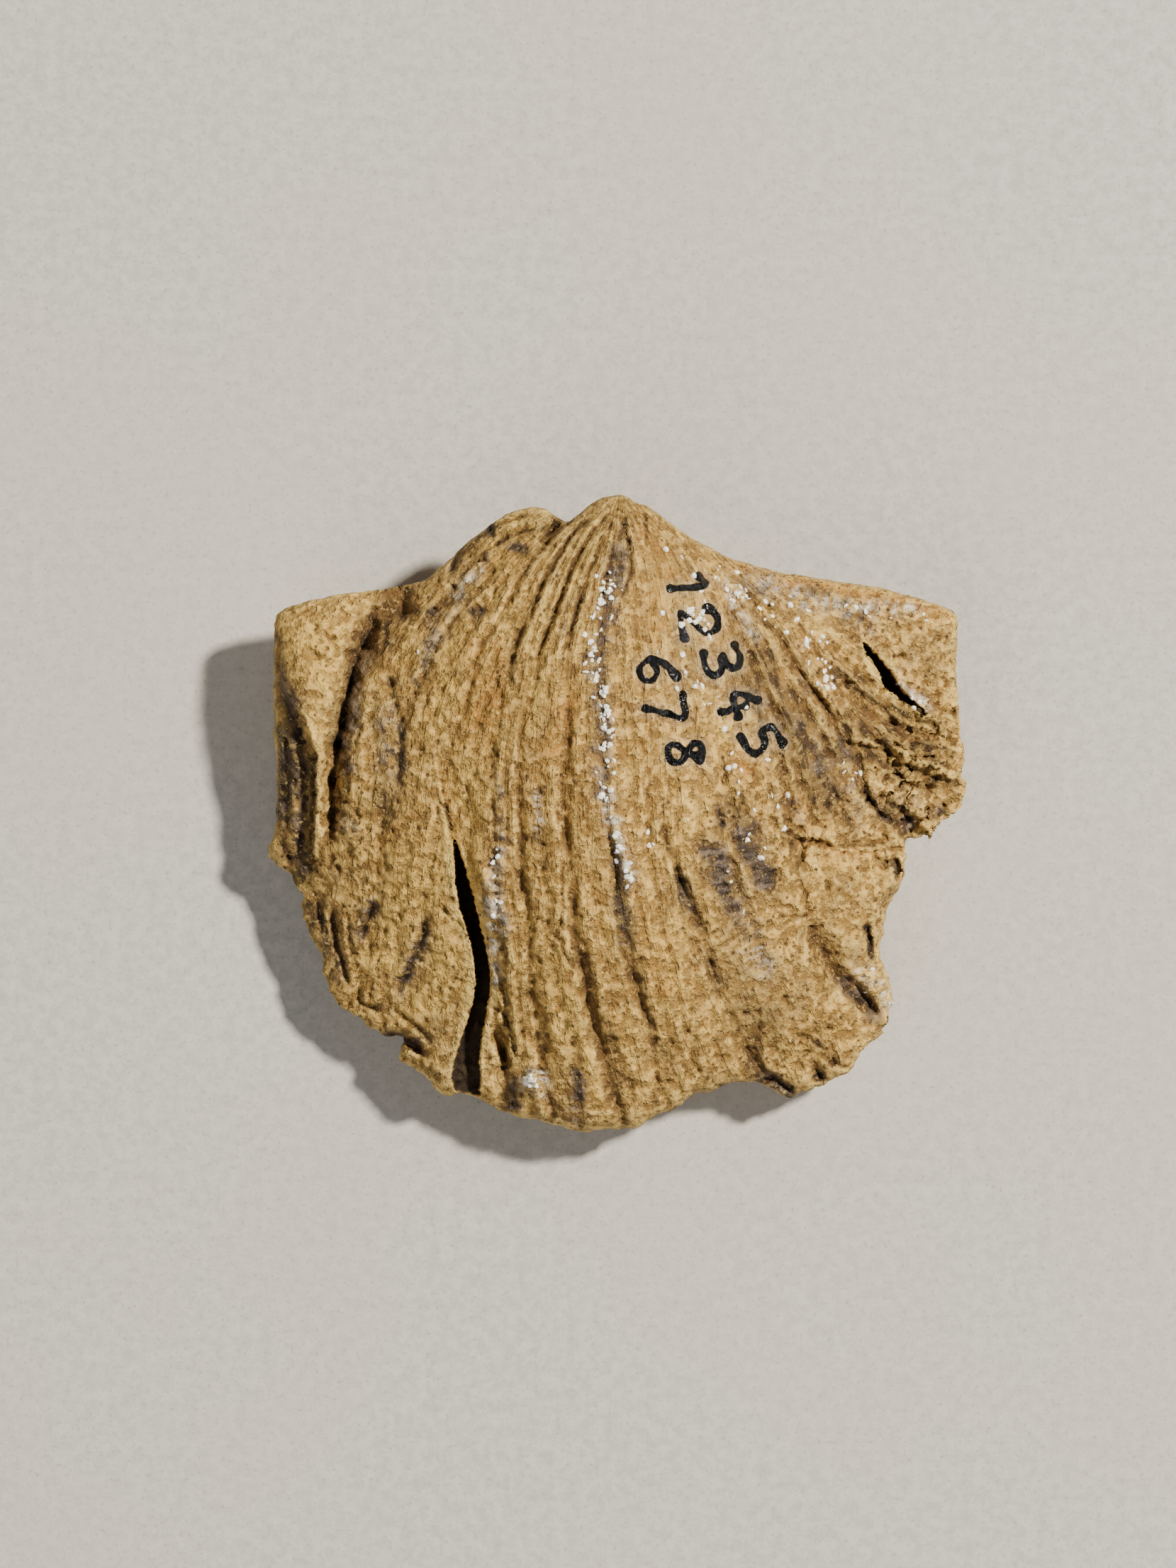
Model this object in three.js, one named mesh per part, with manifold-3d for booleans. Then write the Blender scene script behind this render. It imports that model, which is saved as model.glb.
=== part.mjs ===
// A fossil shell: a winged, ribbed brachiopod, squeezed and cracked in the rock, lying on its smaller valve.
// The domed valve faces up, its beak points to +Y, and the wide hinge line runs along X.
// Everything is in millimetres, with +Z up and the worn underside resting on z = 0.
import * as THREE from 'three';
import { mergeVertices } from 'three/addons/utils/BufferGeometryUtils.js';
import Module from 'manifold-3d';

const wasm = await Module();
wasm.setup();

// Outline of the shell seen from above, clockwise from the tip of the beak.
const HINGE_RIGHT = [
  [0.2, 22.6], [1.2, 22.1], [2.1, 21.8], [3.2, 21.0], [4.5, 20.0], [6.3, 19.0], [7.8, 18.2], [9.4, 17.7],
  [11.5, 17.2], [14.0, 16.8], [18.8, 16.1], [21.6, 15.3], [24.0, 14.4],
];
const BROKEN_EAR = [
  [24.1, 13.7], [24.0, 10.8], [24.2, 6.9], [24.6, 4.3], [24.4, 2.9], [24.8, 2.4], [24.7, 1.1], [24.3, 0.3],
  [22.9, -0.7], [22.2, -1.8], [21.1, -1.6], [20.4, -2.0],
];
const BROKEN_RIGHT = [
  [20.7, -3.3], [20.5, -4.5], [19.3, -6.4], [19.1, -7.7], [18.6, -9.8], [19.3, -11.4], [19.7, -13.1],
  [19.4, -14.2], [19.2, -15.1], [18.6, -15.7], [17.3, -16.9], [16.5, -18.4], [14.0, -19.4], [12.2, -20.1],
];
const FRONT_MARGIN = [
  [11.2, -19.7], [9.9, -18.9], [8.0, -19.1], [6.4, -19.7], [5.5, -19.7], [4.3, -20.8], [2.8, -21.4],
  [1.5, -22.3], [-0.8, -22.3], [-2.8, -22.6], [-4.6, -21.9], [-7.1, -21.4], [-8.4, -21.1], [-9.6, -20.2],
  [-11.0, -19.7], [-12.1, -20.0], [-12.9, -19.5], [-13.5, -18.6], [-14.8, -18.0], [-15.7, -17.5],
  [-15.6, -16.4], [-15.1, -15.8], [-16.5, -16.0],
];
const LEFT_WALL = [
  [-17.7, -15.2], [-18.4, -14.3], [-20.1, -13.4], [-20.9, -11.3], [-21.1, -9.8], [-21.7, -9.0],
  [-22.4, -6.9], [-22.5, -5.7], [-23.3, -4.1], [-24.7, -3.3], [-24.9, -2.3], [-24.2, -1.3], [-24.2, 3.5],
  [-24.4, 6.3], [-24.3, 13.5], [-24.1, 14.2], [-23.5, 14.7],
];
const HINGE_LEFT = [
  [-21.1, 15.4], [-18.0, 15.8], [-15.8, 16.1], [-13.6, 16.6], [-12.5, 17.5], [-11.3, 18.6], [-10.2, 19.6],
  [-8.0, 21.2], [-6.2, 21.8], [-4.9, 21.6], [-4.1, 20.9], [-3.5, 20.6], [-2.7, 21.3], [-1.3, 22.3],
];
const OUTLINE = [...HINGE_RIGHT, ...BROKEN_EAR, ...BROKEN_RIGHT, ...FRONT_MARGIN, ...LEFT_WALL, ...HINGE_LEFT];

// Heights of the domed valve before its ribs and rounded rim are added: x, y, z.
const DOME_HEIGHTS = [
  [0.0, 22.0, 13.6], [0.2, 19.0, 16.0], [-1.0, 15.0, 17.3], [-1.8, 10.0, 17.8], [-2.0, 5.0, 17.8],
  [-2.0, 0.0, 17.3], [-2.0, -6.0, 15.9], [-1.5, -12.0, 13.8], [-0.5, -18.0, 10.6], [0.3, -22.0, 7.6],
  [3.5, 20.3, 12.4], [4.0, 16.0, 15.0], [6.0, 10.0, 16.0], [6.0, 3.0, 16.1], [6.0, -4.0, 15.1],
  [6.0, -11.0, 12.7], [6.0, -18.0, 8.8], [9.0, 17.2, 10.6], [11.0, 13.0, 12.8], [13.0, 6.0, 13.1],
  [13.0, -2.0, 12.4], [13.0, -9.0, 10.7], [13.5, -16.0, 7.8], [16.0, 15.0, 9.9], [18.0, 9.0, 10.4],
  [19.5, 3.0, 9.4], [18.5, -4.0, 8.9], [17.5, -10.0, 8.3], [17.8, -15.5, 6.9], [22.5, 14.0, 8.6],
  [23.0, 8.5, 8.3], [23.5, 3.0, 7.7], [22.5, -0.5, 7.2], [20.0, -2.0, 7.6], [-6.5, 20.8, 12.8],
  [-9.0, 19.5, 12.0], [-8.0, 15.0, 15.0], [-8.0, 9.0, 16.2], [-8.0, 2.0, 16.0], [-7.5, -5.0, 14.6],
  [-7.0, -12.0, 12.2], [-6.5, -19.0, 8.8], [-12.0, 17.0, 11.6], [-13.0, 12.0, 13.2], [-14.0, 6.0, 13.4],
  [-14.0, -1.0, 12.6], [-13.5, -8.0, 10.6], [-12.5, -15.0, 8.2], [-11.5, -19.0, 7.2], [-17.3, 11.5, 11.0],
  [-18.5, 5.0, 11.2], [-18.8, -2.0, 10.0], [-18.0, -8.0, 8.2], [-17.0, -13.0, 6.8], [-15.5, 15.5, 9.4],
  [-19.5, 14.5, 10.2], [-22.8, 13.0, 9.8], [-21.0, 9.5, 11.2], [-22.2, 5.0, 10.2], [-22.2, 0.0, 9.0],
  [-22.0, -5.0, 6.9],
];

// Heights of the smaller valve below, with the hollow hinge face that rises behind it to the beak.
const BELLY_HEIGHTS = [
  [0.0, 21.5, 10.2], [0.0, 18.8, 7.4], [4.0, 19.2, 8.6], [-4.0, 19.8, 8.8], [-8.0, 20.0, 8.4], [9.0, 17.0, 6.8],
  [0.0, 16.5, 5.0], [-8.0, 16.0, 5.0], [8.0, 15.7, 5.0], [16.0, 14.8, 5.2], [-16.0, 14.5, 5.4],
  [22.0, 13.0, 5.4], [-22.0, 12.0, 5.4], [0.0, 14.2, 1.9], [8.0, 13.4, 2.9], [-8.0, 13.6, 2.9],
  [0.0, 11.0, 0.6], [10.0, 10.0, 2.3], [-10.0, 10.0, 2.1], [0.0, 6.0, -0.7],
  [0.0, 0.0, -1.3], [0.0, -7.0, -0.6], [8.0, 4.0, 0.1], [-8.0, 4.0, -0.1], [8.0, -6.0, 0.6], [-8.0, -6.0, 0.4],
  [15.0, 3.0, 2.4], [-15.0, 3.0, 2.0], [20.0, 6.0, 4.2], [-20.0, 6.0, 3.4], [14.0, -9.0, 3.0],
  [-14.0, -9.0, 2.8], [0.0, -14.0, 1.6], [8.0, -14.0, 2.8], [-8.0, -14.0, 2.6], [0.0, -20.0, 3.8],
  [18.0, -2.0, 3.8], [-20.0, -3.0, 3.6],
];

// Height of the middle of the rim, where the two valves meet, and how far in from the edge it rounds over.
const RIM_HEIGHTS = [
  [0.2, 22.6, 12.2], [-4.0, 21.0, 11.0], [-8.0, 21.2, 10.2], [-12.5, 17.5, 9.2], [-18.0, 15.8, 8.6],
  [-24.1, 14.2, 7.6], [-24.3, 6.0, 5.8], [-24.2, -1.0, 5.2], [-21.5, -9.0, 4.8], [-18.4, -14.3, 5.0],
  [-13.0, -19.5, 5.0], [-9.0, -20.7, 5.2], [-2.8, -22.6, 5.4], [3.6, -20.9, 5.4], [9.9, -18.9, 5.2],
  [14.9, -19.0, 5.0], [19.7, -13.1, 5.6], [19.3, -6.4, 6.0], [22.2, -1.8, 6.2], [24.7, 2.4, 6.6],
  [24.0, 9.0, 6.8], [24.0, 14.2, 6.8], [16.5, 16.4, 7.4], [9.4, 17.7, 8.6], [4.5, 20.0, 10.4],
];
const RIM_HALF_THICKNESS = 0.35;
const ROUND_OVERS = [
  [0.0, 22.0, 1.6], [-8.0, 21.0, 1.6], [-16.0, 16.0, 1.3], [-24.0, 13.0, 1.6], [-24.0, 6.0, 3.0],
  [-24.0, 0.0, 3.2], [-21.5, -9.0, 2.2], [-14.0, -18.0, 1.2], [0.0, -22.0, 1.3], [12.0, -20.0, 1.2],
  [19.0, -12.0, 1.2], [20.0, -4.0, 1.0], [24.0, 2.0, 1.2], [24.0, 12.0, 1.4], [16.0, 16.4, 2.2], [6.0, 19.0, 1.8],
];

// The ribs fan out from the beak. Each row is one guide line: its bearing in degrees from straight down the
// middle (+ to the right) at each distance from the beak. Two ribs run between neighbouring guides.
const BEAK = [0.2, 22.9];
const FAN_DISTANCES = [0, 4, 10, 18, 26, 34, 44];
const FAN_BEARINGS = [
  [-90, -90, -90, -90, -90, -90, -90],
  [-80, -74, -66, -59, -50, -38, -32],
  [-72, -66, -58, -49, -37.5, -30, -27],
  [-66, -58, -46.5, -37, -29, -24.3, -20],
  [-55, -47, -37, -28, -20, -13.8, -10.5],
  [-36, -32, -28, -22, -15.5, -10.8, -6.5],
  [-24, -22, -18.5, -12.5, -8.3, -4.3, 0],
  [-8, -8, -8.5, -4.5, -1.2, 1.6, 4.5],
  [10, 8, 6, 5, 4.5, 6, 8],
  [32, 28, 18, 11, 8.8, 10.8, 13],
  [46, 42, 30, 21, 17, 16.5, 19],
  [56, 52, 42, 33, 27, 23.5, 26],
  [64, 60, 52, 44.5, 40, 38.5, 38],
  [70, 66, 58, 50, 49.5, 54, 57],
  [76, 72, 64, 57.5, 55, 61, 64],
  [84, 80, 70, 64, 70, 74, 76],
  [90, 90, 90, 90, 90, 90, 90],
];
const RIBS_PER_GUIDE = 2;

// How deep the grooves between the ribs are: x, y, depth.
const RIB_DEPTHS = [
  [0, 21, 0.35], [-3, 18, 0.55], [3, 18, 0.25], [-6, 14, 0.5], [0, 12, 0.3], [5, 12, 0.15], [10, 12, 0.25],
  [15, 8, 0.45], [20, 7, 0.35], [22, 12, 0.05], [-10, 14, 0.35], [-14, 10, 0.3], [-18, 6, 0.3], [-22, 8, 0],
  [-22, 0, 0.15], [-19, 14.5, 0], [-15, 0, 0.3], [-16, -8, 0.4], [-12, -12, 0.4], [-7, 0, 0.35],
  [-5, -10, 0.55], [-5, -18, 0.65], [0, -5, 0.35], [0, -15, 0.55], [5, -2, 0.35], [6, -10, 0.3],
  [5, -17, 0.4], [11, -3, 0.4], [11, -12, 0.3], [14, -17, 0.5], [17, -5, 0.2], [22, 2, 0.15],
  [-14, 17, 0.1], [-9, 20, 0.15], [16, 15.5, 0],
];
// The ribs of the smaller valve end at the hinge line: only faint lines run up the hinge face to the beak.
const BELLY_RIB_DEPTH = 0.45;
const HINGE_FACE_RIB_DEPTH = 0.12;
const HINGE_LINE_Y = 15.8;

// Grooves, folds and steps that break the pattern of ribs. A negative depth is a ridge.
const GROOVES = [
  { name: 'fold between wing and flank', depth: 1.9, width: 0.8,
    line: [[-16.6, 14.2], [-17.7, 12.8], [-18.4, 11.1], [-19.1, 8.5], [-20.1, 2.7], [-20.1, 0.4], [-20.3, -2.0]] },
  { name: 'pit behind the flank', depth: 1.2, width: 0.8, line: [[-15.7, 15.6], [-15.2, 14.6]] },
  { name: 'notch beside the beak', depth: 1.6, width: 0.6, line: [[-3.4, 20.9], [-4.8, 19.4], [-5.7, 17.9]] },
  { name: 'deep rib groove left of the beak', depth: 0.7, width: 0.5,
    line: [[-1.9, 21.0], [-3.4, 19.4], [-5.7, 15.6], [-7.7, 10.9]] },
  { name: 'long middle groove', depth: 0.8, width: 0.6,
    line: [[-3.6, 4.8], [-3.5, -1.8], [-3.0, -7.9], [-1.0, -16.6], [0.6, -21.6]] },
  { name: 'side branch of the middle groove', depth: 0.5, width: 0.5, line: [[-0.6, -15.4], [0.5, -17.7], [1.4, -20.5]] },
  { name: 'front groove left', depth: 0.6, width: 0.5, line: [[-6.1, -12.0], [-6.2, -16.1]] },
  { name: 'front groove middle', depth: 0.6, width: 0.5, line: [[-5.7, -12.5], [-4.8, -17.0]] },
  { name: 'slot beside the crack', depth: 1.4, width: 0.5, line: [[-8.9, -13.5], [-8.4, -14.9], [-7.8, -17.8]] },
  { name: 'right flank groove', depth: 0.8, width: 0.6, line: [[11.2, 12.6], [13.2, 9.3], [15.9, 6.5]] },
  { name: 'ear groove', depth: 0.8, width: 0.6,
    line: [[14.2, 10.8], [16.9, 7.8], [18.1, 6.9], [21.0, 5.9], [23.6, 5.4]] },
  { name: 'lower right gully', depth: 1.5, width: 0.8,
    line: [[13.3, -7.8], [14.8, -9.8], [15.6, -11.3], [17.2, -13.0], [18.6, -14.6]] },
  { name: 'front right notch', depth: 1.2, width: 0.6, line: [[8.9, -16.2], [10.4, -18.3], [11.8, -19.7]] },
  { name: 'front right groove', depth: 0.6, width: 0.5, line: [[12.5, -15.5], [14.3, -16.4], [14.8, -17.2]] },
  { name: 'pocket under the ear', depth: 2.0, width: 0.6, line: [[20.3, -0.3], [20.6, -1.4]] },
  { name: 'second pocket under the ear', depth: 1.2, width: 0.5, line: [[22.8, 0.8], [22.9, -0.3]] },
  { name: 'gap beside the loose fragment', depth: 1.6, width: 0.5, line: [[-15.9, -15.8], [-14.1, -16.4]] },
  { name: 'bent edge right of the crack', depth: -0.7, width: 0.9,
    line: [[-9.6, -3.2], [-8.4, -7.0], [-7.9, -10.4], [-8.2, -12.6]] },
  { name: 'crystal knob', depth: -0.9, width: 0.8, line: [[-6.0, -18.8], [-5.9, -18.8]] },
  { name: 'crest of the dome', depth: -0.35, width: 0.9,
    line: [[-0.3, 18.0], [-1.6, 10.1], [-1.3, 4.1], [-0.8, 1.0], [0.8, -4.2]] },
];

// Hollows of the underside: the hinge where the valves part, the stalk opening under the beak, a growth stop.
const BELLY_GROOVES = [
  { name: 'hinge line', depth: 0.9, width: 0.7, line: [[-15.0, 15.1], [-8.0, 16.3], [8.0, 16.3], [17.0, 14.9]] },
  { name: 'stalk opening', depth: 1.1, width: 1.3, line: [[0.1, 16.8], [0.2, 20.4]] },
  { name: 'growth stop', depth: 0.4, width: 0.6,
    line: [[-19.0, 2.0], [-16.5, -6.0], [-10.0, -12.5], [0.0, -15.5], [9.0, -13.0], [15.0, -7.0], [18.0, 1.0]] },
];

// Steps where a thin plate of shell has broken away. The ground right of each line, walked in order, is lower.
const STEPS = [
  { name: 'torn edge across the ear', drop: 0.9, reach: 2.4,
    line: [[17.9, 5.0], [19.6, 4.7], [20.1, 4.0], [22.9, 2.8], [24.7, 2.3]] },
  { name: 'wavy ledge on the right flank', drop: 0.4, reach: 2.0,
    line: [[13.3, -1.6], [14.8, -1.6], [15.3, -2.2], [16.4, -2.5], [18.6, -2.3]] },
  { name: 'ear plate lifted along the slit', drop: 0.5, reach: 2.0,
    line: [[22.1, 7.1], [21.4, 7.6], [19.9, 9.1], [17.7, 11.9], [16.4, 12.6]] },
  { name: 'sunk flank left of the crack', drop: 0.8, reach: 3.2,
    line: [[-9.8, -19.5], [-9.9, -12.5], [-10.2, -9.5], [-11.4, -3.7], [-12.1, 0.5]] },
];

// The open crack in the front left and the torn slit in the ear, as outlines seen from above.
const CRACK_OUTLINE = [
  [-11.6, -1.0], [-11.4, -5.7], [-10.2, -9.5], [-10.0, -12.5], [-11.7, -17.5], [-11.8, -18.5], [-11.4, -20.8],
  [-9.6, -20.8], [-9.6, -18.9], [-9.7, -16.6], [-8.9, -12.5], [-8.9, -10.7], [-9.9, -6.3], [-11.0, -2.5],
];
const CRACK_FLOOR = { back: [-1.0, 10.2], front: [-20.8, 5.5] };
const SLIT_OUTLINE = [
  [17.0, 12.3], [18.5, 9.9], [18.6, 9.2], [21.8, 6.9], [22.1, 7.1], [19.9, 9.1], [19.6, 10.0], [17.5, 12.2],
];
const SLIT_FLOOR = { back: [12.3, 7.6], front: [6.9, 6.4] };

// How finely the shell is faceted.
const FACETS_PER_RIB = 3;
const ROW_LENGTH = 1.35;
const BELLY_FACETS_PER_RIB = 3;
const BELLY_ROW_LENGTH = 2.4;
const FAN_REACH = 47;
const BLOCK_TOP = 30;
const BLOCK_BOTTOM = -8;

// A smooth sheet through scattered heights, like a thin springy plate pressed onto pins.
function platePull(squaredDistance) {
  return squaredDistance > 0 ? squaredDistance * Math.log(squaredDistance) : 0;
}

function solveLinear(rows, values) {
  const size = values.length;
  for (let column = 0; column < size; column += 1) {
    let pivot = column;
    for (let row = column + 1; row < size; row += 1) {
      if (Math.abs(rows[row][column]) > Math.abs(rows[pivot][column])) pivot = row;
    }
    [rows[column], rows[pivot]] = [rows[pivot], rows[column]];
    [values[column], values[pivot]] = [values[pivot], values[column]];
    for (let row = 0; row < size; row += 1) {
      if (row === column) continue;
      const share = rows[row][column] / rows[column][column];
      for (let k = column; k < size; k += 1) rows[row][k] -= share * rows[column][k];
      values[row] -= share * values[column];
    }
  }
  return values.map((value, k) => value / rows[k][k]);
}

function plateThrough(pins) {
  const rows = pins.map(([x, y]) => [...pins.map(([px, py]) => platePull((x - px) ** 2 + (y - py) ** 2)), 1, x, y]);
  rows.push([...pins.map(() => 1), 0, 0, 0]);
  rows.push([...pins.map(([x]) => x), 0, 0, 0]);
  rows.push([...pins.map(([, y]) => y), 0, 0, 0]);
  const weights = solveLinear(rows, [...pins.map(([, , z]) => z), 0, 0, 0]);
  const [level, slopeX, slopeY] = weights.slice(pins.length);
  return (x, y) => pins.reduce(
    (sum, [px, py], k) => sum + weights[k] * platePull((x - px) ** 2 + (y - py) ** 2),
    level + slopeX * x + slopeY * y,
  );
}

// A value blended from the nearest of some scattered values, which never leaves their range.
function blendOf(pins) {
  return (x, y) => {
    let total = 0;
    let weightSum = 0;
    for (const [px, py, value] of pins) {
      const weight = 1 / ((x - px) ** 2 + (y - py) ** 2 + 0.5) ** 2;
      total += weight * value;
      weightSum += weight;
    }
    return total / weightSum;
  };
}

// The nearest point of a line: its distance, and on which side of the line the place lies (+ is right).
function nearestOnLine(x, y, line) {
  let best = { distance: Infinity, side: 0 };
  for (let k = 1; k < line.length; k += 1) {
    const [ax, ay] = line[k - 1];
    const [bx, by] = line[k];
    const [dx, dy] = [bx - ax, by - ay];
    const along = THREE.MathUtils.clamp(((x - ax) * dx + (y - ay) * dy) / (dx * dx + dy * dy), 0, 1);
    const distance = Math.hypot(x - ax - along * dx, y - ay - along * dy);
    const side = Math.sign((x - ax) * dy - (y - ay) * dx);
    if (distance < best.distance) best = { distance, side };
  }
  return best;
}

function isInside(x, y, outline) {
  let inside = false;
  outline.forEach(([ax, ay], k) => {
    const [bx, by] = outline[(k + 1) % outline.length];
    if (ay > y !== by > y && x < ax + ((bx - ax) * (y - ay)) / (by - ay)) inside = !inside;
  });
  return inside;
}

const dome = plateThrough(DOME_HEIGHTS);
const belly = plateThrough(BELLY_HEIGHTS);
const rimHeight = plateThrough(RIM_HEIGHTS);
const roundOver = blendOf(ROUND_OVERS);
const ribDepth = blendOf(RIB_DEPTHS);
const closedOutline = [...OUTLINE, OUTLINE[0]];

// 0 at the edge of the outline, rising on a quarter circle to 1 where the rim's rounding ends.
function rimRise(x, y) {
  if (!isInside(x, y, OUTLINE)) return 0;
  const share = Math.min(nearestOnLine(x, y, closedOutline).distance / roundOver(x, y), 1);
  return Math.sqrt(1 - (1 - share) ** 2);
}

function grooveRelief(x, y, grooves) {
  return grooves.reduce((sum, { depth, width, line }) => {
    const { distance } = nearestOnLine(x, y, line);
    return sum - depth * Math.exp(-((distance / width) ** 2));
  }, 0);
}

function stepRelief(x, y) {
  return STEPS.reduce((sum, { drop, reach, line }) => {
    const { distance, side } = nearestOnLine(x, y, line);
    return side > 0 ? sum - drop * Math.exp(-((distance / reach) ** 2)) : sum;
  }, 0);
}

// Ribs stand between grooves that lie on the guides and midway between them.
function ribRelief(rib) {
  return -0.5 * (1 + Math.cos(2 * Math.PI * rib));
}

function topHeight(x, y, rib) {
  const relief = ribDepth(x, y) * ribRelief(rib) + grooveRelief(x, y, GROOVES) + stepRelief(x, y);
  const edge = rimHeight(x, y) + RIM_HALF_THICKNESS;
  return edge + Math.max(dome(x, y) + relief - edge, 0) * rimRise(x, y);
}

function bottomHeight(x, y, rib) {
  const edge = rimHeight(x, y) - RIM_HALF_THICKNESS;
  const depth = y > HINGE_LINE_Y ? HINGE_FACE_RIB_DEPTH : BELLY_RIB_DEPTH;
  const relief = depth * ribRelief(rib) + grooveRelief(x, y, BELLY_GROOVES);
  const raw = Math.max(belly(x, y) - relief, 0);
  return edge - Math.max(edge - raw, 0) * rimRise(x, y);
}

// Bearing of a rib at a distance from the beak, read between the guide lines.
function fanBearing(guide, distance) {
  let column = 0;
  while (column < FAN_DISTANCES.length - 2 && distance > FAN_DISTANCES[column + 1]) column += 1;
  const near = FAN_DISTANCES[column];
  const across = Math.min((distance - near) / (FAN_DISTANCES[column + 1] - near), 1);
  const lower = Math.min(Math.floor(guide), FAN_BEARINGS.length - 2);
  const atGuide = (row) => THREE.MathUtils.lerp(row[column], row[column + 1], across);
  return THREE.MathUtils.lerp(atGuide(FAN_BEARINGS[lower]), atGuide(FAN_BEARINGS[lower + 1]), guide - lower);
}

// A block whose one face is the sheet of heights, woven along the ribs, and whose other face is flat.
function fanBlock(heightAt, flatHeight, facetsPerRib, rowLength) {
  const columns = (FAN_BEARINGS.length - 1) * RIBS_PER_GUIDE * facetsPerRib;
  const rows = Math.round(FAN_REACH / rowLength);
  const sheet = [];
  for (let row = 1; row <= rows; row += 1) {
    for (let column = 0; column <= columns; column += 1) {
      const guide = column / (RIBS_PER_GUIDE * facetsPerRib);
      const distance = (FAN_REACH * row) / rows;
      const bearing = THREE.MathUtils.degToRad(fanBearing(guide, distance));
      const x = BEAK[0] + distance * Math.sin(bearing);
      const y = BEAK[1] - distance * Math.cos(bearing);
      sheet.push([x, y, heightAt(x, y, guide * RIBS_PER_GUIDE)]);
    }
  }
  sheet.push([BEAK[0], BEAK[1], heightAt(BEAK[0], BEAK[1], 0)]);
  const apex = sheet.length - 1;
  const at = (row, column) => row * (columns + 1) + column;

  const faces = [];
  for (let column = 0; column < columns; column += 1) {
    faces.push([apex, at(0, column), at(0, column + 1)]);
    for (let row = 0; row < rows - 1; row += 1) {
      const [a, b, c, d] = [at(row, column), at(row + 1, column), at(row + 1, column + 1), at(row, column + 1)];
      faces.push([a, b, c], [a, c, d]);
    }
  }

  const border = [apex];
  for (let row = 0; row < rows; row += 1) border.push(at(row, 0));
  for (let column = 1; column <= columns; column += 1) border.push(at(rows - 1, column));
  for (let row = rows - 2; row >= 0; row -= 1) border.push(at(row, columns));

  const flatOf = (k) => k + sheet.length;
  const sides = border.flatMap((from, k) => {
    const to = border[(k + 1) % border.length];
    return [[from, flatOf(from), to], [to, flatOf(from), flatOf(to)]];
  });
  const flatFaces = faces.map(([a, b, c]) => [flatOf(a), flatOf(c), flatOf(b)]);
  const all = [...faces, ...flatFaces, ...sides];
  const facing = flatHeight < 0 ? all : all.map(([a, b, c]) => [a, c, b]);

  const geometry = new THREE.BufferGeometry();
  const points = [...sheet, ...sheet.map(([x, y]) => [x, y, flatHeight])];
  geometry.setAttribute('position', new THREE.Float32BufferAttribute(points.flat(), 3));
  geometry.setIndex(facing.flat());
  return geometry;
}

// A post that stands on an outline. Its lower end may slope along Y, as the floor of a crack does.
function outlinePost(outline, floor) {
  const shape = new THREE.Shape(outline.map(([x, y]) => new THREE.Vector2(x, y)));
  const geometry = new THREE.ExtrudeGeometry(shape, { depth: BLOCK_TOP - BLOCK_BOTTOM, bevelEnabled: false });
  geometry.translate(0, 0, BLOCK_BOTTOM);
  if (floor) {
    const position = geometry.getAttribute('position');
    for (let k = 0; k < position.count; k += 1) {
      if (position.getZ(k) > BLOCK_BOTTOM) continue;
      position.setZ(k, THREE.MathUtils.mapLinear(position.getY(k), floor.back[0], floor.front[0], floor.back[1], floor.front[1]));
    }
  }
  return geometry;
}

function toSolid(geometry) {
  geometry.deleteAttribute('normal');
  geometry.deleteAttribute('uv');
  const merged = mergeVertices(geometry);
  return new wasm.Manifold(new wasm.Mesh({
    numProp: 3,
    vertProperties: new Float32Array(merged.getAttribute('position').array),
    triVerts: new Uint32Array(merged.index.array),
  }));
}

// Back to a geometry, with corners closer than the weld distance joined and the slivers between them dropped.
function toGeometry(solid, weldDistance) {
  const mesh = solid.getMesh();
  const raw = new THREE.BufferGeometry();
  raw.setAttribute('position', new THREE.BufferAttribute(mesh.vertProperties, 3));
  raw.setIndex(new THREE.BufferAttribute(mesh.triVerts, 1));
  const geometry = mergeVertices(raw, weldDistance);
  const index = geometry.index.array;
  const kept = [];
  for (let k = 0; k < index.length; k += 3) {
    const [a, b, c] = index.slice(k, k + 3);
    if (a !== b && b !== c && c !== a) kept.push(a, b, c);
  }
  geometry.setIndex(kept);
  geometry.computeVertexNormals();
  return geometry;
}

function makeShell() {
  const underDome = toSolid(fanBlock(topHeight, BLOCK_BOTTOM, FACETS_PER_RIB, ROW_LENGTH));
  const overBelly = toSolid(fanBlock(bottomHeight, BLOCK_TOP, BELLY_FACETS_PER_RIB, BELLY_ROW_LENGTH));
  const withinOutline = toSolid(outlinePost(OUTLINE));
  const crack = toSolid(outlinePost(CRACK_OUTLINE, CRACK_FLOOR));
  const slit = toSolid(outlinePost(SLIT_OUTLINE, SLIT_FLOOR));
  const body = withinOutline.intersect(underDome).intersect(overBelly).subtract(crack).subtract(slit);

  const weathered = new THREE.MeshStandardMaterial({ color: '#b08d5c', roughness: 0.85, metalness: 0 });
  const shell = new THREE.Mesh(toGeometry(body, 0.002), weathered);
  shell.name = 'shell';
  return shell;
}

const fossil = new THREE.Group();
fossil.name = 'fossil';
fossil.add(makeShell());

export default fossil;
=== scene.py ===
# %% [markdown]
# This lesson dresses one fossil shell, a winged brachiopod in tan limestone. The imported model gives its
# size, its outline and its main folds. Here the same surface is woven again from far more points, with every
# rib, crack and pit, and then it is given its stone colours, its varnish and its ink.

import math

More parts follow.
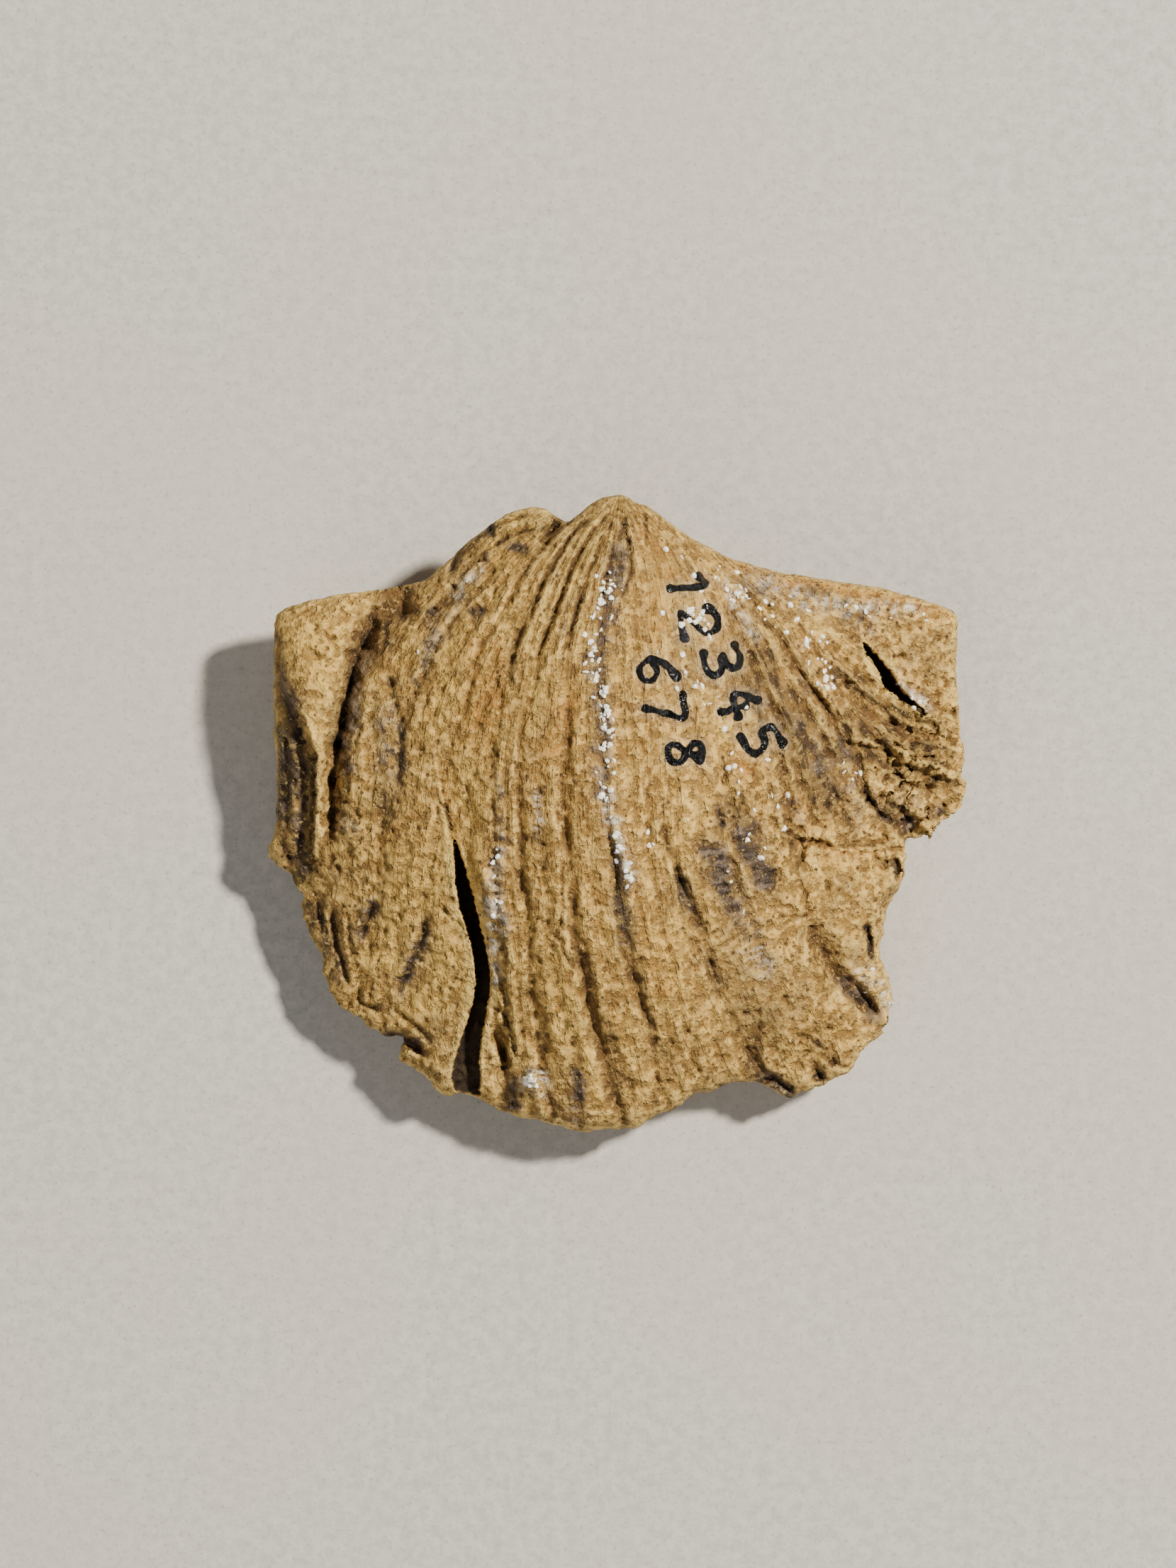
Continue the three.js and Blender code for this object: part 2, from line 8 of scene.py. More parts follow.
import bmesh
import bpy
import numpy as np
from mathutils.geometry import delaunay_2d_cdt
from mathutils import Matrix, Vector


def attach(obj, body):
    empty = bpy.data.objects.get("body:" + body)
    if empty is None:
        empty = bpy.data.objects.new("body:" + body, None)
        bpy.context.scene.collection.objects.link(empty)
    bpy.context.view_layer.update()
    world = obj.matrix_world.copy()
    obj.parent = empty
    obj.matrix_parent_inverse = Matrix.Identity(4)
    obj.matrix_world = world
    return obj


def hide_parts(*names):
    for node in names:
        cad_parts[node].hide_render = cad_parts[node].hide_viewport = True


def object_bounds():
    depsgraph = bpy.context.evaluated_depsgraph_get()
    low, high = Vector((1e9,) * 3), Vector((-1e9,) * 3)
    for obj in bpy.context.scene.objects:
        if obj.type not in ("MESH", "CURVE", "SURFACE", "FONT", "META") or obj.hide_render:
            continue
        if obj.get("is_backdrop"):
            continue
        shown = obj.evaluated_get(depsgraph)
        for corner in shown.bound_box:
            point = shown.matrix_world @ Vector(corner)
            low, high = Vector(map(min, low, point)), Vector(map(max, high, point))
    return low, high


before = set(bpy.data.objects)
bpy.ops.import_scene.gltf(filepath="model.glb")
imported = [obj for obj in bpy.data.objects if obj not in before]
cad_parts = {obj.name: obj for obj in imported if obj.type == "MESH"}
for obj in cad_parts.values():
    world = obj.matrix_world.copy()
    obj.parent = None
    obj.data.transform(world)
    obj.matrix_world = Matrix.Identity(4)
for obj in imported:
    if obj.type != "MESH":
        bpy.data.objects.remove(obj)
CAD_LOW, CAD_HIGH = (np.array(corner, dtype=float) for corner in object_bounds())
MM = 0.001
print("shell as packed, in mm:", np.round((CAD_HIGH - CAD_LOW) / MM, 2))

# %% [markdown]
# The photograph looks straight down on the shell, from far enough that its sides hardly lean. A long lens
# high above the table does the same. The place under the middle of the picture follows from the photograph's
# scale, and the lens from how much of the table its long side spans.

# %% The camera
PHOTO_SIZE = (1659, 2212)
PHOTO_PIXEL_OVER_ORIGIN = (871.0, 1150.5)
MM_PER_PIXEL = 0.05
CAMERA_HEIGHT = 700.0
MIDDLE_OF_SHELL = 9.0
SENSOR = 36.0
NEAREST_SEEN, FARTHEST_SEEN = 0.05, 20.0

middle_x = (PHOTO_SIZE[0] / 2 - PHOTO_PIXEL_OVER_ORIGIN[0]) * MM_PER_PIXEL
middle_y = (PHOTO_PIXEL_OVER_ORIGIN[1] - PHOTO_SIZE[1] / 2) * MM_PER_PIXEL
camera_data = bpy.data.cameras.new("camera")
camera_data.sensor_width = SENSOR
camera_data.lens = SENSOR * (CAMERA_HEIGHT - MIDDLE_OF_SHELL) / (PHOTO_SIZE[1] * MM_PER_PIXEL)
camera_data.clip_start, camera_data.clip_end = NEAREST_SEEN, FARTHEST_SEEN
camera = bpy.data.objects.new("camera", camera_data)
camera.location = (middle_x * MM, middle_y * MM, CAMERA_HEIGHT * MM)
bpy.context.scene.collection.objects.link(camera)
bpy.context.scene.camera = camera
print("lens, mm:", round(camera_data.lens, 1))

# %% [markdown]
# The outline is the first fact of the shell: straight hinge line, beak, torn ear and a ragged front. It is
# given as short stretches of corners in millimetres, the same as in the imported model, clockwise from the
# beak. Few corners were chosen over a dense trace, because they are easy to read and to mend.

# %% The outline
HINGE_RIGHT = [
    [0.2, 22.6], [1.2, 22.1], [2.1, 21.8], [3.2, 21.0], [4.5, 20.0], [6.3, 19.0], [7.8, 18.2], [9.4, 17.7],
    [11.5, 17.2], [14.0, 16.8], [18.8, 16.1], [21.6, 15.3], [24.0, 14.4],
]
BROKEN_EAR = [
    [24.1, 13.7], [24.0, 10.8], [24.2, 6.9], [24.6, 4.3], [24.4, 2.9], [24.8, 2.4], [24.7, 1.1], [24.3, 0.3],
    [22.9, -0.7], [22.2, -1.8], [21.1, -1.6], [20.4, -2.0],
]
BROKEN_RIGHT = [
    [20.7, -3.3], [20.5, -4.5], [19.3, -6.4], [19.1, -7.7], [18.6, -9.8], [19.3, -11.4], [19.7, -13.1],
    [19.4, -14.2], [19.2, -15.1], [18.6, -15.7], [17.3, -16.9], [16.5, -18.4], [14.0, -19.4], [12.2, -20.1],
]
FRONT_MARGIN = [
    [11.2, -19.7], [9.9, -18.9], [8.0, -19.1], [6.4, -19.7], [5.5, -19.7], [4.3, -20.8], [2.8, -21.4],
    [1.5, -22.3], [-0.8, -22.3], [-2.8, -22.6], [-4.6, -21.9], [-7.1, -21.4], [-8.4, -21.1], [-9.6, -20.2],
    [-11.0, -19.7], [-12.1, -20.0], [-12.9, -19.5], [-13.5, -18.6], [-14.8, -18.0], [-15.7, -17.5],
    [-15.6, -16.4], [-15.1, -15.8], [-16.5, -16.0],
]
LEFT_WALL = [
    [-17.7, -15.2], [-18.4, -14.3], [-20.1, -13.4], [-20.9, -11.3], [-21.1, -9.8], [-21.7, -9.0],
    [-22.4, -6.9], [-22.5, -5.7], [-23.3, -4.1], [-24.7, -3.3], [-24.9, -2.3], [-24.2, -1.3], [-24.2, 3.5],
    [-24.4, 6.3], [-24.3, 13.5], [-24.1, 14.2], [-23.5, 14.7],
]
HINGE_LEFT = [
    [-21.1, 15.4], [-18.0, 15.8], [-15.8, 16.1], [-13.6, 16.6], [-12.5, 17.5], [-11.3, 18.6], [-10.2, 19.6],
    [-8.0, 21.2], [-6.2, 21.8], [-4.9, 21.6], [-4.1, 20.9], [-3.5, 20.6], [-2.7, 21.3], [-1.3, 22.3],
]
OUTLINE = np.array(HINGE_RIGHT + BROKEN_EAR + BROKEN_RIGHT + FRONT_MARGIN + LEFT_WALL + HINGE_LEFT)
print("outline:", len(OUTLINE), "corners, reaching", OUTLINE.min(axis=0), OUTLINE.max(axis=0))

# %% [markdown]
# Stone that has lain in a stream or a drawer has no sharp corners. Each corner is cut into two, twice over,
# and then points are set close together along the loop.

# %% Worn roundness
NEAR_SHARE, FAR_SHARE = 0.8, 0.2
OUTLINE_SPACING = 0.2


def cut_corners(loop):
    """Each corner of a closed loop is replaced by two points nearer its neighbours."""
    following = np.roll(loop, -1, axis=0)
    return np.stack(
        [NEAR_SHARE * loop + FAR_SHARE * following, FAR_SHARE * loop + NEAR_SHARE * following], axis=1
    ).reshape(-1, 2)


def evenly_spaced(loop, step):
    """Points about a step apart along a closed loop."""
    closed = np.vstack([loop, loop[:1]])
    lengths = np.hypot(*np.diff(closed, axis=0).T)
    run = np.concatenate([[0.0], np.cumsum(lengths)])
    places = np.linspace(0.0, run[-1], int(run[-1] / step), endpoint=False)
    return np.stack([np.interp(places, run, closed[:, 0]), np.interp(places, run, closed[:, 1])], axis=1)


smooth_outline = evenly_spaced(cut_corners(cut_corners(OUTLINE)), OUTLINE_SPACING)
print("outline:", len(smooth_outline), "points along it")

# %% [markdown]
# Two small tools make regions out of pins. A thin springy plate pressed onto pins gives the broad dome from
# a few dozen heights. A blend of scattered values says how rough or how deep things are in each region. A
# grid of heights would do too, but pins can sit where the form turns and be few elsewhere.

# %% Plates and blends
NEARLY_NOTHING = 1e-12
BLEND_SOFTNESS = 0.5


def plate_through(pins):
    """A smooth height over the plane that passes through every pin (x, y, height)."""
    pins = np.array(pins, dtype=float)
    count = len(pins)

    def pull(dx, dy):
        squared = dx ** 2 + dy ** 2
        return np.where(squared > 0, squared * np.log(np.maximum(squared, NEARLY_NOTHING)), 0.0)

    rows = np.zeros((count + 3, count + 3))
    rows[:count, :count] = pull(pins[:, None, 0] - pins[None, :, 0], pins[:, None, 1] - pins[None, :, 1])
    rows[:count, count:] = np.column_stack([np.ones(count), pins[:, :2]])
    rows[count:, :count] = rows[:count, count:].T
    weights = np.linalg.solve(rows, np.concatenate([pins[:, 2], np.zeros(3)]))

    def height(x, y):
        total = weights[count] + weights[count + 1] * x + weights[count + 2] * y
        for (px, py, _), weight in zip(pins, weights):
            total = total + weight * pull(x - px, y - py)
        return total

    return height


def blend_of(pins):
    """A value mixed from the nearest pins (x, y, value), never outside their range."""

    def value(x, y):
        total, weight_sum = np.zeros_like(x), np.zeros_like(x)
        for px, py, pin in pins:
            weight = 1.0 / ((x - px) ** 2 + (y - py) ** 2 + BLEND_SOFTNESS) ** 2
            total += weight * pin
            weight_sum += weight
        return total / weight_sum

    return value


test_plate = plate_through([(0, 0, 1), (2, 0, 1), (0, 2, 3), (2, 2, 3)])
print("a plate over four pins, at its middle:", round(float(test_plate(1.0, 1.0)), 3))

# %% [markdown]
# Everything that was drawn on the shell is a line with corners. For any place, the helper below tells the
# distance to a line, the side it lies on and how far along it is. Whether a place lies inside a closed loop
# is found by counting how often a ray from it crosses the loop.

# %% Distances to lines


def nearest_on_line(x, y, line):
    """Distance to a line, the side of it (+ is right of its course), and how far along it, from 0 to 1."""
    line = np.array(line, dtype=float)
    best = np.full(x.shape, np.inf)
    side = np.zeros(x.shape)
    along = np.zeros(x.shape)
    lengths = np.hypot(*np.diff(line, axis=0).T)
    run = np.concatenate([[0.0], np.cumsum(lengths)]) / max(lengths.sum(), NEARLY_NOTHING)
    for k, ((ax, ay), (bx, by)) in enumerate(zip(line[:-1], line[1:])):
        dx, dy = bx - ax, by - ay
        share = np.clip(((x - ax) * dx + (y - ay) * dy) / max(dx * dx + dy * dy, NEARLY_NOTHING), 0.0, 1.0)
        distance = np.hypot(x - ax - share * dx, y - ay - share * dy)
        nearer = distance < best
        best = np.where(nearer, distance, best)
        side = np.where(nearer, np.sign((x - ax) * dy - (y - ay) * dx), side)
        along = np.where(nearer, run[k] + share * (run[k + 1] - run[k]), along)
    return best, side, along


def is_inside(x, y, loop):
    """Whether places lie inside a closed loop."""
    inside = np.zeros(x.shape, dtype=bool)
    for (ax, ay), (bx, by) in zip(loop, np.roll(loop, -1, axis=0)):
        if ay != by:
            inside ^= ((ay > y) != (by > y)) & (x < ax + (bx - ax) * (y - ay) / (by - ay))
    return inside


def smooth_step(value):
    """0 below 0, 1 above 1, and an even slope without corners between."""
    value = np.clip(value, 0.0, 1.0)
    return value * value * (3.0 - 2.0 * value)


print("one mm beside a line:", nearest_on_line(np.array([1.0]), np.array([0.5]), [(0, 0), (0, 1)]))

# %% [markdown]
# Stone is never regular. A gradient noise, the same each time because its directions come from a fixed seed,
# roughens the edges, makes the ribs wander, and puts grains and pits on the surface. It is worked out on
# whole arrays at once, so a hundred thousand points take a moment.

# %% Noise
NOISE_TABLE = 256
SEED_SHIFT = 17.31
NOISE_REACH = 1.8
NOISE_SEED = 7
noise_source = np.random.default_rng(NOISE_SEED)
NOISE_DIRECTIONS = noise_source.normal(size=(NOISE_TABLE, 3))
NOISE_DIRECTIONS /= np.linalg.norm(NOISE_DIRECTIONS, axis=1)[:, None]
NOISE_ORDER = np.concatenate([noise_source.permutation(NOISE_TABLE)] * 3)


def noise(x, y, z, size, seed=0):
    """Gradient noise between about -1 and 1, whose lumps are a given size in millimetres."""
    place = np.stack(np.broadcast_arrays(x, y, z), axis=-1) / size + seed * SEED_SHIFT
    cell = np.floor(place).astype(int)
    inside = place - cell
    fade = inside ** 3 * (inside * (inside * 6.0 - 15.0) + 10.0)
    total = np.zeros(place.shape[:-1])
    for corner in np.ndindex(2, 2, 2):
        i, j, k = ((cell[..., axis] + corner[axis]) % NOISE_TABLE for axis in range(3))
        direction = NOISE_DIRECTIONS[NOISE_ORDER[NOISE_ORDER[NOISE_ORDER[i] + j] + k]]
        shares = [fade[..., axis] if corner[axis] else 1.0 - fade[..., axis] for axis in range(3)]
        weight = np.prod(shares, axis=0)
        total += weight * np.sum(direction * (inside - np.array(corner)), axis=-1)
    return NOISE_REACH * total


def layered_noise(x, y, z, size, layers, seed=0):
    """Noise with finer and weaker layers added."""
    return sum(noise(x, y, z, size / 2 ** k, seed + k) / 2 ** k for k in range(layers))


sample = noise(np.linspace(0.0, 50.0, 1000), 0.0, 0.0, 1.0)
print("noise along 50 mm runs from", round(sample.min(), 2), "to", round(sample.max(), 2))

# %% [markdown]
# The broad form of both valves comes from pins: the domed valve above, the smaller valve below with the
# hinge face that rises behind it, and the rim where they meet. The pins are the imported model's own, so the
# fine surface lies on the plain one.

# %% The broad form
DOME_HEIGHTS = [
    [0.0, 22.0, 13.6], [0.2, 19.0, 16.0], [-1.0, 15.0, 17.3], [-1.8, 10.0, 17.8], [-2.0, 5.0, 17.8],
    [-2.0, 0.0, 17.3], [-2.0, -6.0, 15.9], [-1.5, -12.0, 13.8], [-0.5, -18.0, 10.6], [0.3, -22.0, 7.6],
    [3.5, 20.3, 12.4], [4.0, 16.0, 15.0], [6.0, 10.0, 16.0], [6.0, 3.0, 16.1], [6.0, -4.0, 15.1],
    [6.0, -11.0, 12.7], [6.0, -18.0, 8.8], [9.0, 17.2, 10.6], [11.0, 13.0, 12.8], [13.0, 6.0, 13.1],
    [13.0, -2.0, 12.4], [13.0, -9.0, 10.7], [13.5, -16.0, 7.8], [16.0, 15.0, 9.9], [18.0, 9.0, 10.4],
    [19.5, 3.0, 9.4], [18.5, -4.0, 8.9], [17.5, -10.0, 8.3], [17.8, -15.5, 6.9], [22.5, 14.0, 8.6],
    [23.0, 8.5, 8.3], [23.5, 3.0, 7.7], [22.5, -0.5, 7.2], [20.0, -2.0, 7.6], [-6.5, 20.8, 12.8],
    [-9.0, 19.5, 12.0], [-8.0, 15.0, 15.0], [-8.0, 9.0, 16.2], [-8.0, 2.0, 16.0], [-7.5, -5.0, 14.6],
    [-7.0, -12.0, 12.2], [-6.5, -19.0, 8.8], [-12.0, 17.0, 11.6], [-13.0, 12.0, 13.2], [-14.0, 6.0, 13.4],
    [-14.0, -1.0, 12.6], [-13.5, -8.0, 10.6], [-12.5, -15.0, 8.2], [-11.5, -19.0, 7.2], [-17.3, 11.5, 11.0],
    [-18.5, 5.0, 11.2], [-18.8, -2.0, 10.0], [-18.0, -8.0, 8.2], [-17.0, -13.0, 6.8], [-15.5, 15.5, 9.4],
    [-19.5, 14.5, 10.2], [-22.8, 13.0, 9.8], [-21.0, 9.5, 11.2], [-22.2, 5.0, 10.2], [-22.2, 0.0, 9.0],
    [-22.0, -5.0, 6.9],
]
BELLY_HEIGHTS = [
    [0.0, 21.5, 10.2], [0.0, 18.8, 7.4], [4.0, 19.2, 8.6], [-4.0, 19.8, 8.8], [-8.0, 20.0, 8.4],
    [9.0, 17.0, 6.8], [0.0, 16.5, 5.0], [-8.0, 16.0, 5.0], [8.0, 15.7, 5.0], [16.0, 14.8, 5.2],
    [-16.0, 14.5, 5.4], [22.0, 13.0, 5.4], [-22.0, 12.0, 5.4], [0.0, 14.2, 1.9], [8.0, 13.4, 2.9],
    [-8.0, 13.6, 2.9], [0.0, 11.0, 0.6], [10.0, 10.0, 2.3], [-10.0, 10.0, 2.1], [0.0, 6.0, -0.7],
    [0.0, 0.0, -1.3], [0.0, -7.0, -0.6], [8.0, 4.0, 0.1], [-8.0, 4.0, -0.1], [8.0, -6.0, 0.6],
    [-8.0, -6.0, 0.4], [15.0, 3.0, 2.4], [-15.0, 3.0, 2.0], [20.0, 6.0, 4.2], [-20.0, 6.0, 3.4],
    [14.0, -9.0, 3.0], [-14.0, -9.0, 2.8], [0.0, -14.0, 1.6], [8.0, -14.0, 2.8], [-8.0, -14.0, 2.6],
    [0.0, -20.0, 3.8], [18.0, -2.0, 3.8], [-20.0, -3.0, 3.6],
]
RIM_HEIGHTS = [
    [0.2, 22.6, 12.2], [-4.0, 21.0, 11.0], [-8.0, 21.2, 10.2], [-12.5, 17.5, 9.2], [-18.0, 15.8, 8.6],
    [-24.1, 14.2, 7.6], [-24.3, 6.0, 5.8], [-24.2, -1.0, 5.2], [-21.5, -9.0, 4.8], [-18.4, -14.3, 5.0],
    [-13.0, -19.5, 5.0], [-9.0, -20.7, 5.2], [-2.8, -22.6, 5.4], [3.6, -20.9, 5.4], [9.9, -18.9, 5.2],
    [14.9, -19.0, 5.0], [19.7, -13.1, 5.6], [19.3, -6.4, 6.0], [22.2, -1.8, 6.2], [24.7, 2.4, 6.6],
    [24.0, 9.0, 6.8], [24.0, 14.2, 6.8], [16.5, 16.4, 7.4], [9.4, 17.7, 8.6], [4.5, 20.0, 10.4],
]
ROUND_OVERS = [
    [0.0, 22.0, 1.6], [-8.0, 21.0, 1.6], [-16.0, 16.0, 1.3], [-24.0, 13.0, 1.6], [-24.0, 6.0, 3.0],
    [-24.0, 0.0, 3.2], [-21.5, -9.0, 2.2], [-14.0, -18.0, 1.2], [0.0, -22.0, 1.3], [12.0, -20.0, 1.2],
    [19.0, -12.0, 1.2], [20.0, -4.0, 1.0], [24.0, 2.0, 1.2], [24.0, 12.0, 1.4], [16.0, 16.4, 2.2],
    [6.0, 19.0, 1.8],
]
RIM_HALF_THICKNESS = 0.35

dome = plate_through(DOME_HEIGHTS)
belly = plate_through(BELLY_HEIGHTS)
rim_height = plate_through(RIM_HEIGHTS)
round_over = blend_of(ROUND_OVERS)
print("top of the dome, mm:", round(float(dome(np.array(-2.0), np.array(7.0))), 1))

# %% [markdown]
# The ribs fan out from the beak and bend with the growth of the shell. A row gives the bearing of one guide
# line at several distances from the beak, and two ribs run between neighbouring guides. For any place, its
# distance and bearing from the beak say between which guides it lies, and that number makes the ribs rise
# and fall.

# %% The fan of ribs
BEAK = (0.2, 22.9)
FAN_DISTANCES = [0, 4, 10, 18, 26, 34, 44]
FAN_BEARINGS = [
    [-90, -90, -90, -90, -90, -90, -90],
    [-80, -74, -66, -59, -50, -38, -32],
    [-72, -66, -58, -49, -37.5, -30, -27],
    [-66, -58, -46.5, -37, -29, -24.3, -20],
    [-55, -47, -37, -28, -20, -13.8, -10.5],
    [-36, -32, -28, -22, -15.5, -10.8, -6.5],
    [-24, -22, -18.5, -12.5, -8.3, -4.3, 0],
    [-8, -8, -8.5, -4.5, -1.2, 1.6, 4.5],
    [10, 8, 6, 5, 4.5, 6, 8],
    [32, 28, 18, 11, 8.8, 10.8, 13],
    [46, 42, 30, 21, 17, 16.5, 19],
    [56, 52, 42, 33, 27, 23.5, 26],
    [64, 60, 52, 44.5, 40, 38.5, 38],
    [70, 66, 58, 50, 49.5, 54, 57],
    [76, 72, 64, 57.5, 55, 61, 64],
    [84, 80, 70, 64, 70, 74, 76],
    [90, 90, 90, 90, 90, 90, 90],
]
RIBS_PER_GUIDE = 2
RIB_DEPTHS = [
    [0, 21, 0.4], [-3, 18, 0.45], [3, 18, 0.2], [-6, 14, 0.4], [0, 12, 0.25], [5, 12, 0.1], [10, 12, 0.3],
    [15, 8, 0.5], [20, 7, 0.5], [22, 12, 0.04], [-10, 14, 0.3], [-14, 10, 0.22], [-18, 6, 0.15], [-22, 8, 0],
    [-22, 0, 0.1], [-19, 14.5, 0], [-15, 0, 0.2], [-16, -8, 0.26], [-12, -12, 0.1], [-7, 0, 0.28],
    [-5, -10, 0.38], [-5, -18, 0.5], [0, -5, 0.3], [0, -15, 0.4], [5, -2, 0.3], [6, -10, 0.24],
    [5, -17, 0.36], [11, -3, 0.34], [11, -12, 0.16], [14, -17, 0.3], [17, -5, 0.16], [22, 2, 0.15],
    [-14, 17, 0.08], [-9, 20, 0.1], [16, 15.5, 0], [8, -14, 0.22], [-9, 8, 0.2], [-5, 6, 0.22], [2, 5, 0.16],
    [-11, 2, 0.16], [-2, 8, 0.2], [14, 2, 0.4],
]
rib_depth = blend_of(RIB_DEPTHS)


def rib_number(x, y):
    """Between which ribs a place lies, counted from the left, and its distance from the beak."""
    distance = np.hypot(x - BEAK[0], BEAK[1] - y)
    bearing = np.degrees(np.arctan2(x - BEAK[0], BEAK[1] - y))
    guides = np.stack([np.interp(distance, FAN_DISTANCES, row) for row in FAN_BEARINGS], axis=-1)
    lower = np.clip(np.sum(guides <= bearing[..., None], axis=-1) - 1, 0, len(FAN_BEARINGS) - 2)
    left = np.take_along_axis(guides, lower[..., None], axis=-1)[..., 0]
    right = np.take_along_axis(guides, lower[..., None] + 1, axis=-1)[..., 0]
    return (lower + (bearing - left) / (right - left)) * RIBS_PER_GUIDE, distance


def rib_groove(number, sharpness=2.4):
    """1 in the grooves between pairs of ribs, less in the groove that parts a pair, 0 along the crests."""
    within_pair = np.sin(0.5 * np.pi * number) ** 2
    return (0.5 + 0.5 * np.cos(2.0 * np.pi * number)) ** sharpness * (1.0 - 0.5 * within_pair)


print("ribs across the fan:", (len(FAN_BEARINGS) - 1) * RIBS_PER_GUIDE)

# %% [markdown]
# Over the regular fan lies the shell's own history: folds, cracks, torn plates and pits. Each is a line
# drawn in millimetres with a depth and a width, and a negative depth is a ridge. The broad ones are
# also in the imported model, the hair-thin ones only here. The wing comes first, with the deep fold that parts
# it from the flank, and then the left wall.

# %% Grooves of the wing and the left wall
GROOVES = [
    (1.3, 0.85, [[-16.6, 14.2], [-17.7, 12.8], [-18.4, 11.1], [-19.1, 8.5], [-20.1, 2.7], [-20.1, 0.4],
                 [-20.3, -2.0]]),
    (1.3, 0.3, [[-17.2, 13.4], [-17.7, 12.8], [-18.4, 11.1], [-19.1, 8.5], [-20.1, 2.7], [-20.1, 0.4],
                 [-20.2, -1.4]]),
    (1.3, 0.7, [[-15.7, 15.6], [-15.2, 14.6]]),
    (1.4, 0.35, [[-15.9, 15.7], [-15.6, 15.5]]),
    (0.3, 0.25, [[-16.9, 14.9], [-17.4, 13.9], [-17.0, 13.3]]),
    (0.35, 0.16, [[-11.2, 16.3], [-12.8, 14.6], [-13.2, 13.7]]),
    (0.25, 0.2, [[-8.8, 18.4], [-8.2, 19.1], [-7.5, 19.5]]),
    (0.45, 0.16, [[-9.3, 19.4], [-8.8, 20.6]]),
    (0.3, 0.15, [[-11.6, 17.6], [-10.6, 18.8], [-9.4, 19.9]]),
    (0.35, 0.2, [[-12.0, 16.6], [-10.9, 18.2], [-9.2, 19.9], [-7.4, 20.9], [-5.6, 21.1]]),
    (0.3, 0.18, [[-11.4, 16.2], [-10.0, 17.9], [-8.4, 19.2], [-6.4, 20.0], [-5.0, 20.1]]),
    (0.6, 0.2, [[-9.4, 21.0], [-8.75, 19.6]]),
    (0.6, 0.2, [[-10.9, 19.1], [-11.8, 17.2]]),
    (0.5, 0.18, [[-9.4, 18.0], [-9.35, 17.95]]),
    (0.5, 0.18, [[-12.9, 14.6], [-12.85, 14.5]]),
    (0.4, 0.18, [[-11.6, 16.2], [-11.55, 16.1]]),
    (0.8, 0.5, [[-10.0, 14.3], [-9.9, 14.3]]),
    (-0.45, 0.2, [[-10.0, 14.3], [-9.9, 14.25]]),
    (0.25, 0.3, [[-16.2, 10.0], [-15.3, 7.0], [-15.2, 3.0]]),
    (0.2, 0.25, [[-17.3, 8.0], [-17.0, 5.0], [-16.6, 2.4]]),
    (-0.35, 0.5, [[-22.9, 8.2], [-21.8, 6.2], [-21.0, 4.0], [-21.0, 0.0], [-21.2, -2.5]]),
    (0.45, 0.3, [[-22.6, 7.0], [-22.2, 4.0], [-22.3, 0.0], [-22.6, -3.0]]),
    (0.35, 0.22, [[-23.4, 6.4], [-23.3, 2.0], [-23.5, -1.5]]),
    (0.3, 0.18, [[-21.5, 5.0], [-21.4, 1.5], [-21.7, -3.0]]),
    (0.6, 0.3, [[-24.0, -1.6], [-23.2, -3.0], [-22.7, -5.2]]),
    (0.2, 0.15, [[-22.0, 14.0], [-20.0, 12.4], [-19.6, 11.4]]),
    (0.18, 0.14, [[-21.8, 11.9], [-20.4, 10.8]]),
]
print("grooves and ridges so far:", len(GROOVES))

# %% [markdown]
# The ribs are crowded where they leave the beak, and a deep wedge parts the beak from the bump beside it.
# The fan alone would draw them too evenly, so the main furrows are drawn one by one.

# %% Grooves beside the beak
GROOVES += [
    (1.5, 0.5, [[-3.3, 21.3], [-4.4, 20.3], [-5.2, 18.9]]),
    (0.9, 0.25, [[-3.2, 21.3], [-4.4, 20.4], [-5.1, 19.5]]),
    (0.36, 0.24, [[-1.4, 21.3], [-2.4, 20.4], [-3.4, 19.4], [-4.6, 17.2], [-5.7, 15.6], [-6.8, 13.2],
                  [-7.7, 10.9]]),
    (0.34, 0.22, [[-0.1, 21.5], [-1.6, 20.0], [-3.0, 17.8], [-3.9, 15.2], [-5.2, 12.3], [-6.2, 10.1]]),
    (0.32, 0.2, [[-0.1, 21.5], [-0.5, 20.2], [-1.9, 17.1], [-3.0, 14.0], [-3.8, 11.5], [-4.0, 10.0]]),
    (0.3, 0.2, [[0.5, 20.8], [-0.3, 18.6], [-0.9, 16.6], [-1.4, 14.3]]),
    (0.35, 0.2, [[0.3, 21.0], [0.9, 18.4], [0.9, 17.1], [0.3, 15.0]]),
    (0.35, 0.18, [[2.0, 21.5], [1.9, 20.4], [2.0, 19.1]]),
    (0.3, 0.16, [[2.9, 21.0], [2.9, 20.0]]),
    (0.25, 0.25, [[-2.6, 19.2], [-4.0, 16.6], [-5.2, 13.8]]),
]
print("grooves and ridges so far:", len(GROOVES))

# %% [markdown]
# Down the middle the growth of both halves has pinched the ribs, and some furrows run on almost to the front
# edge. Two short ridges stand up between them.

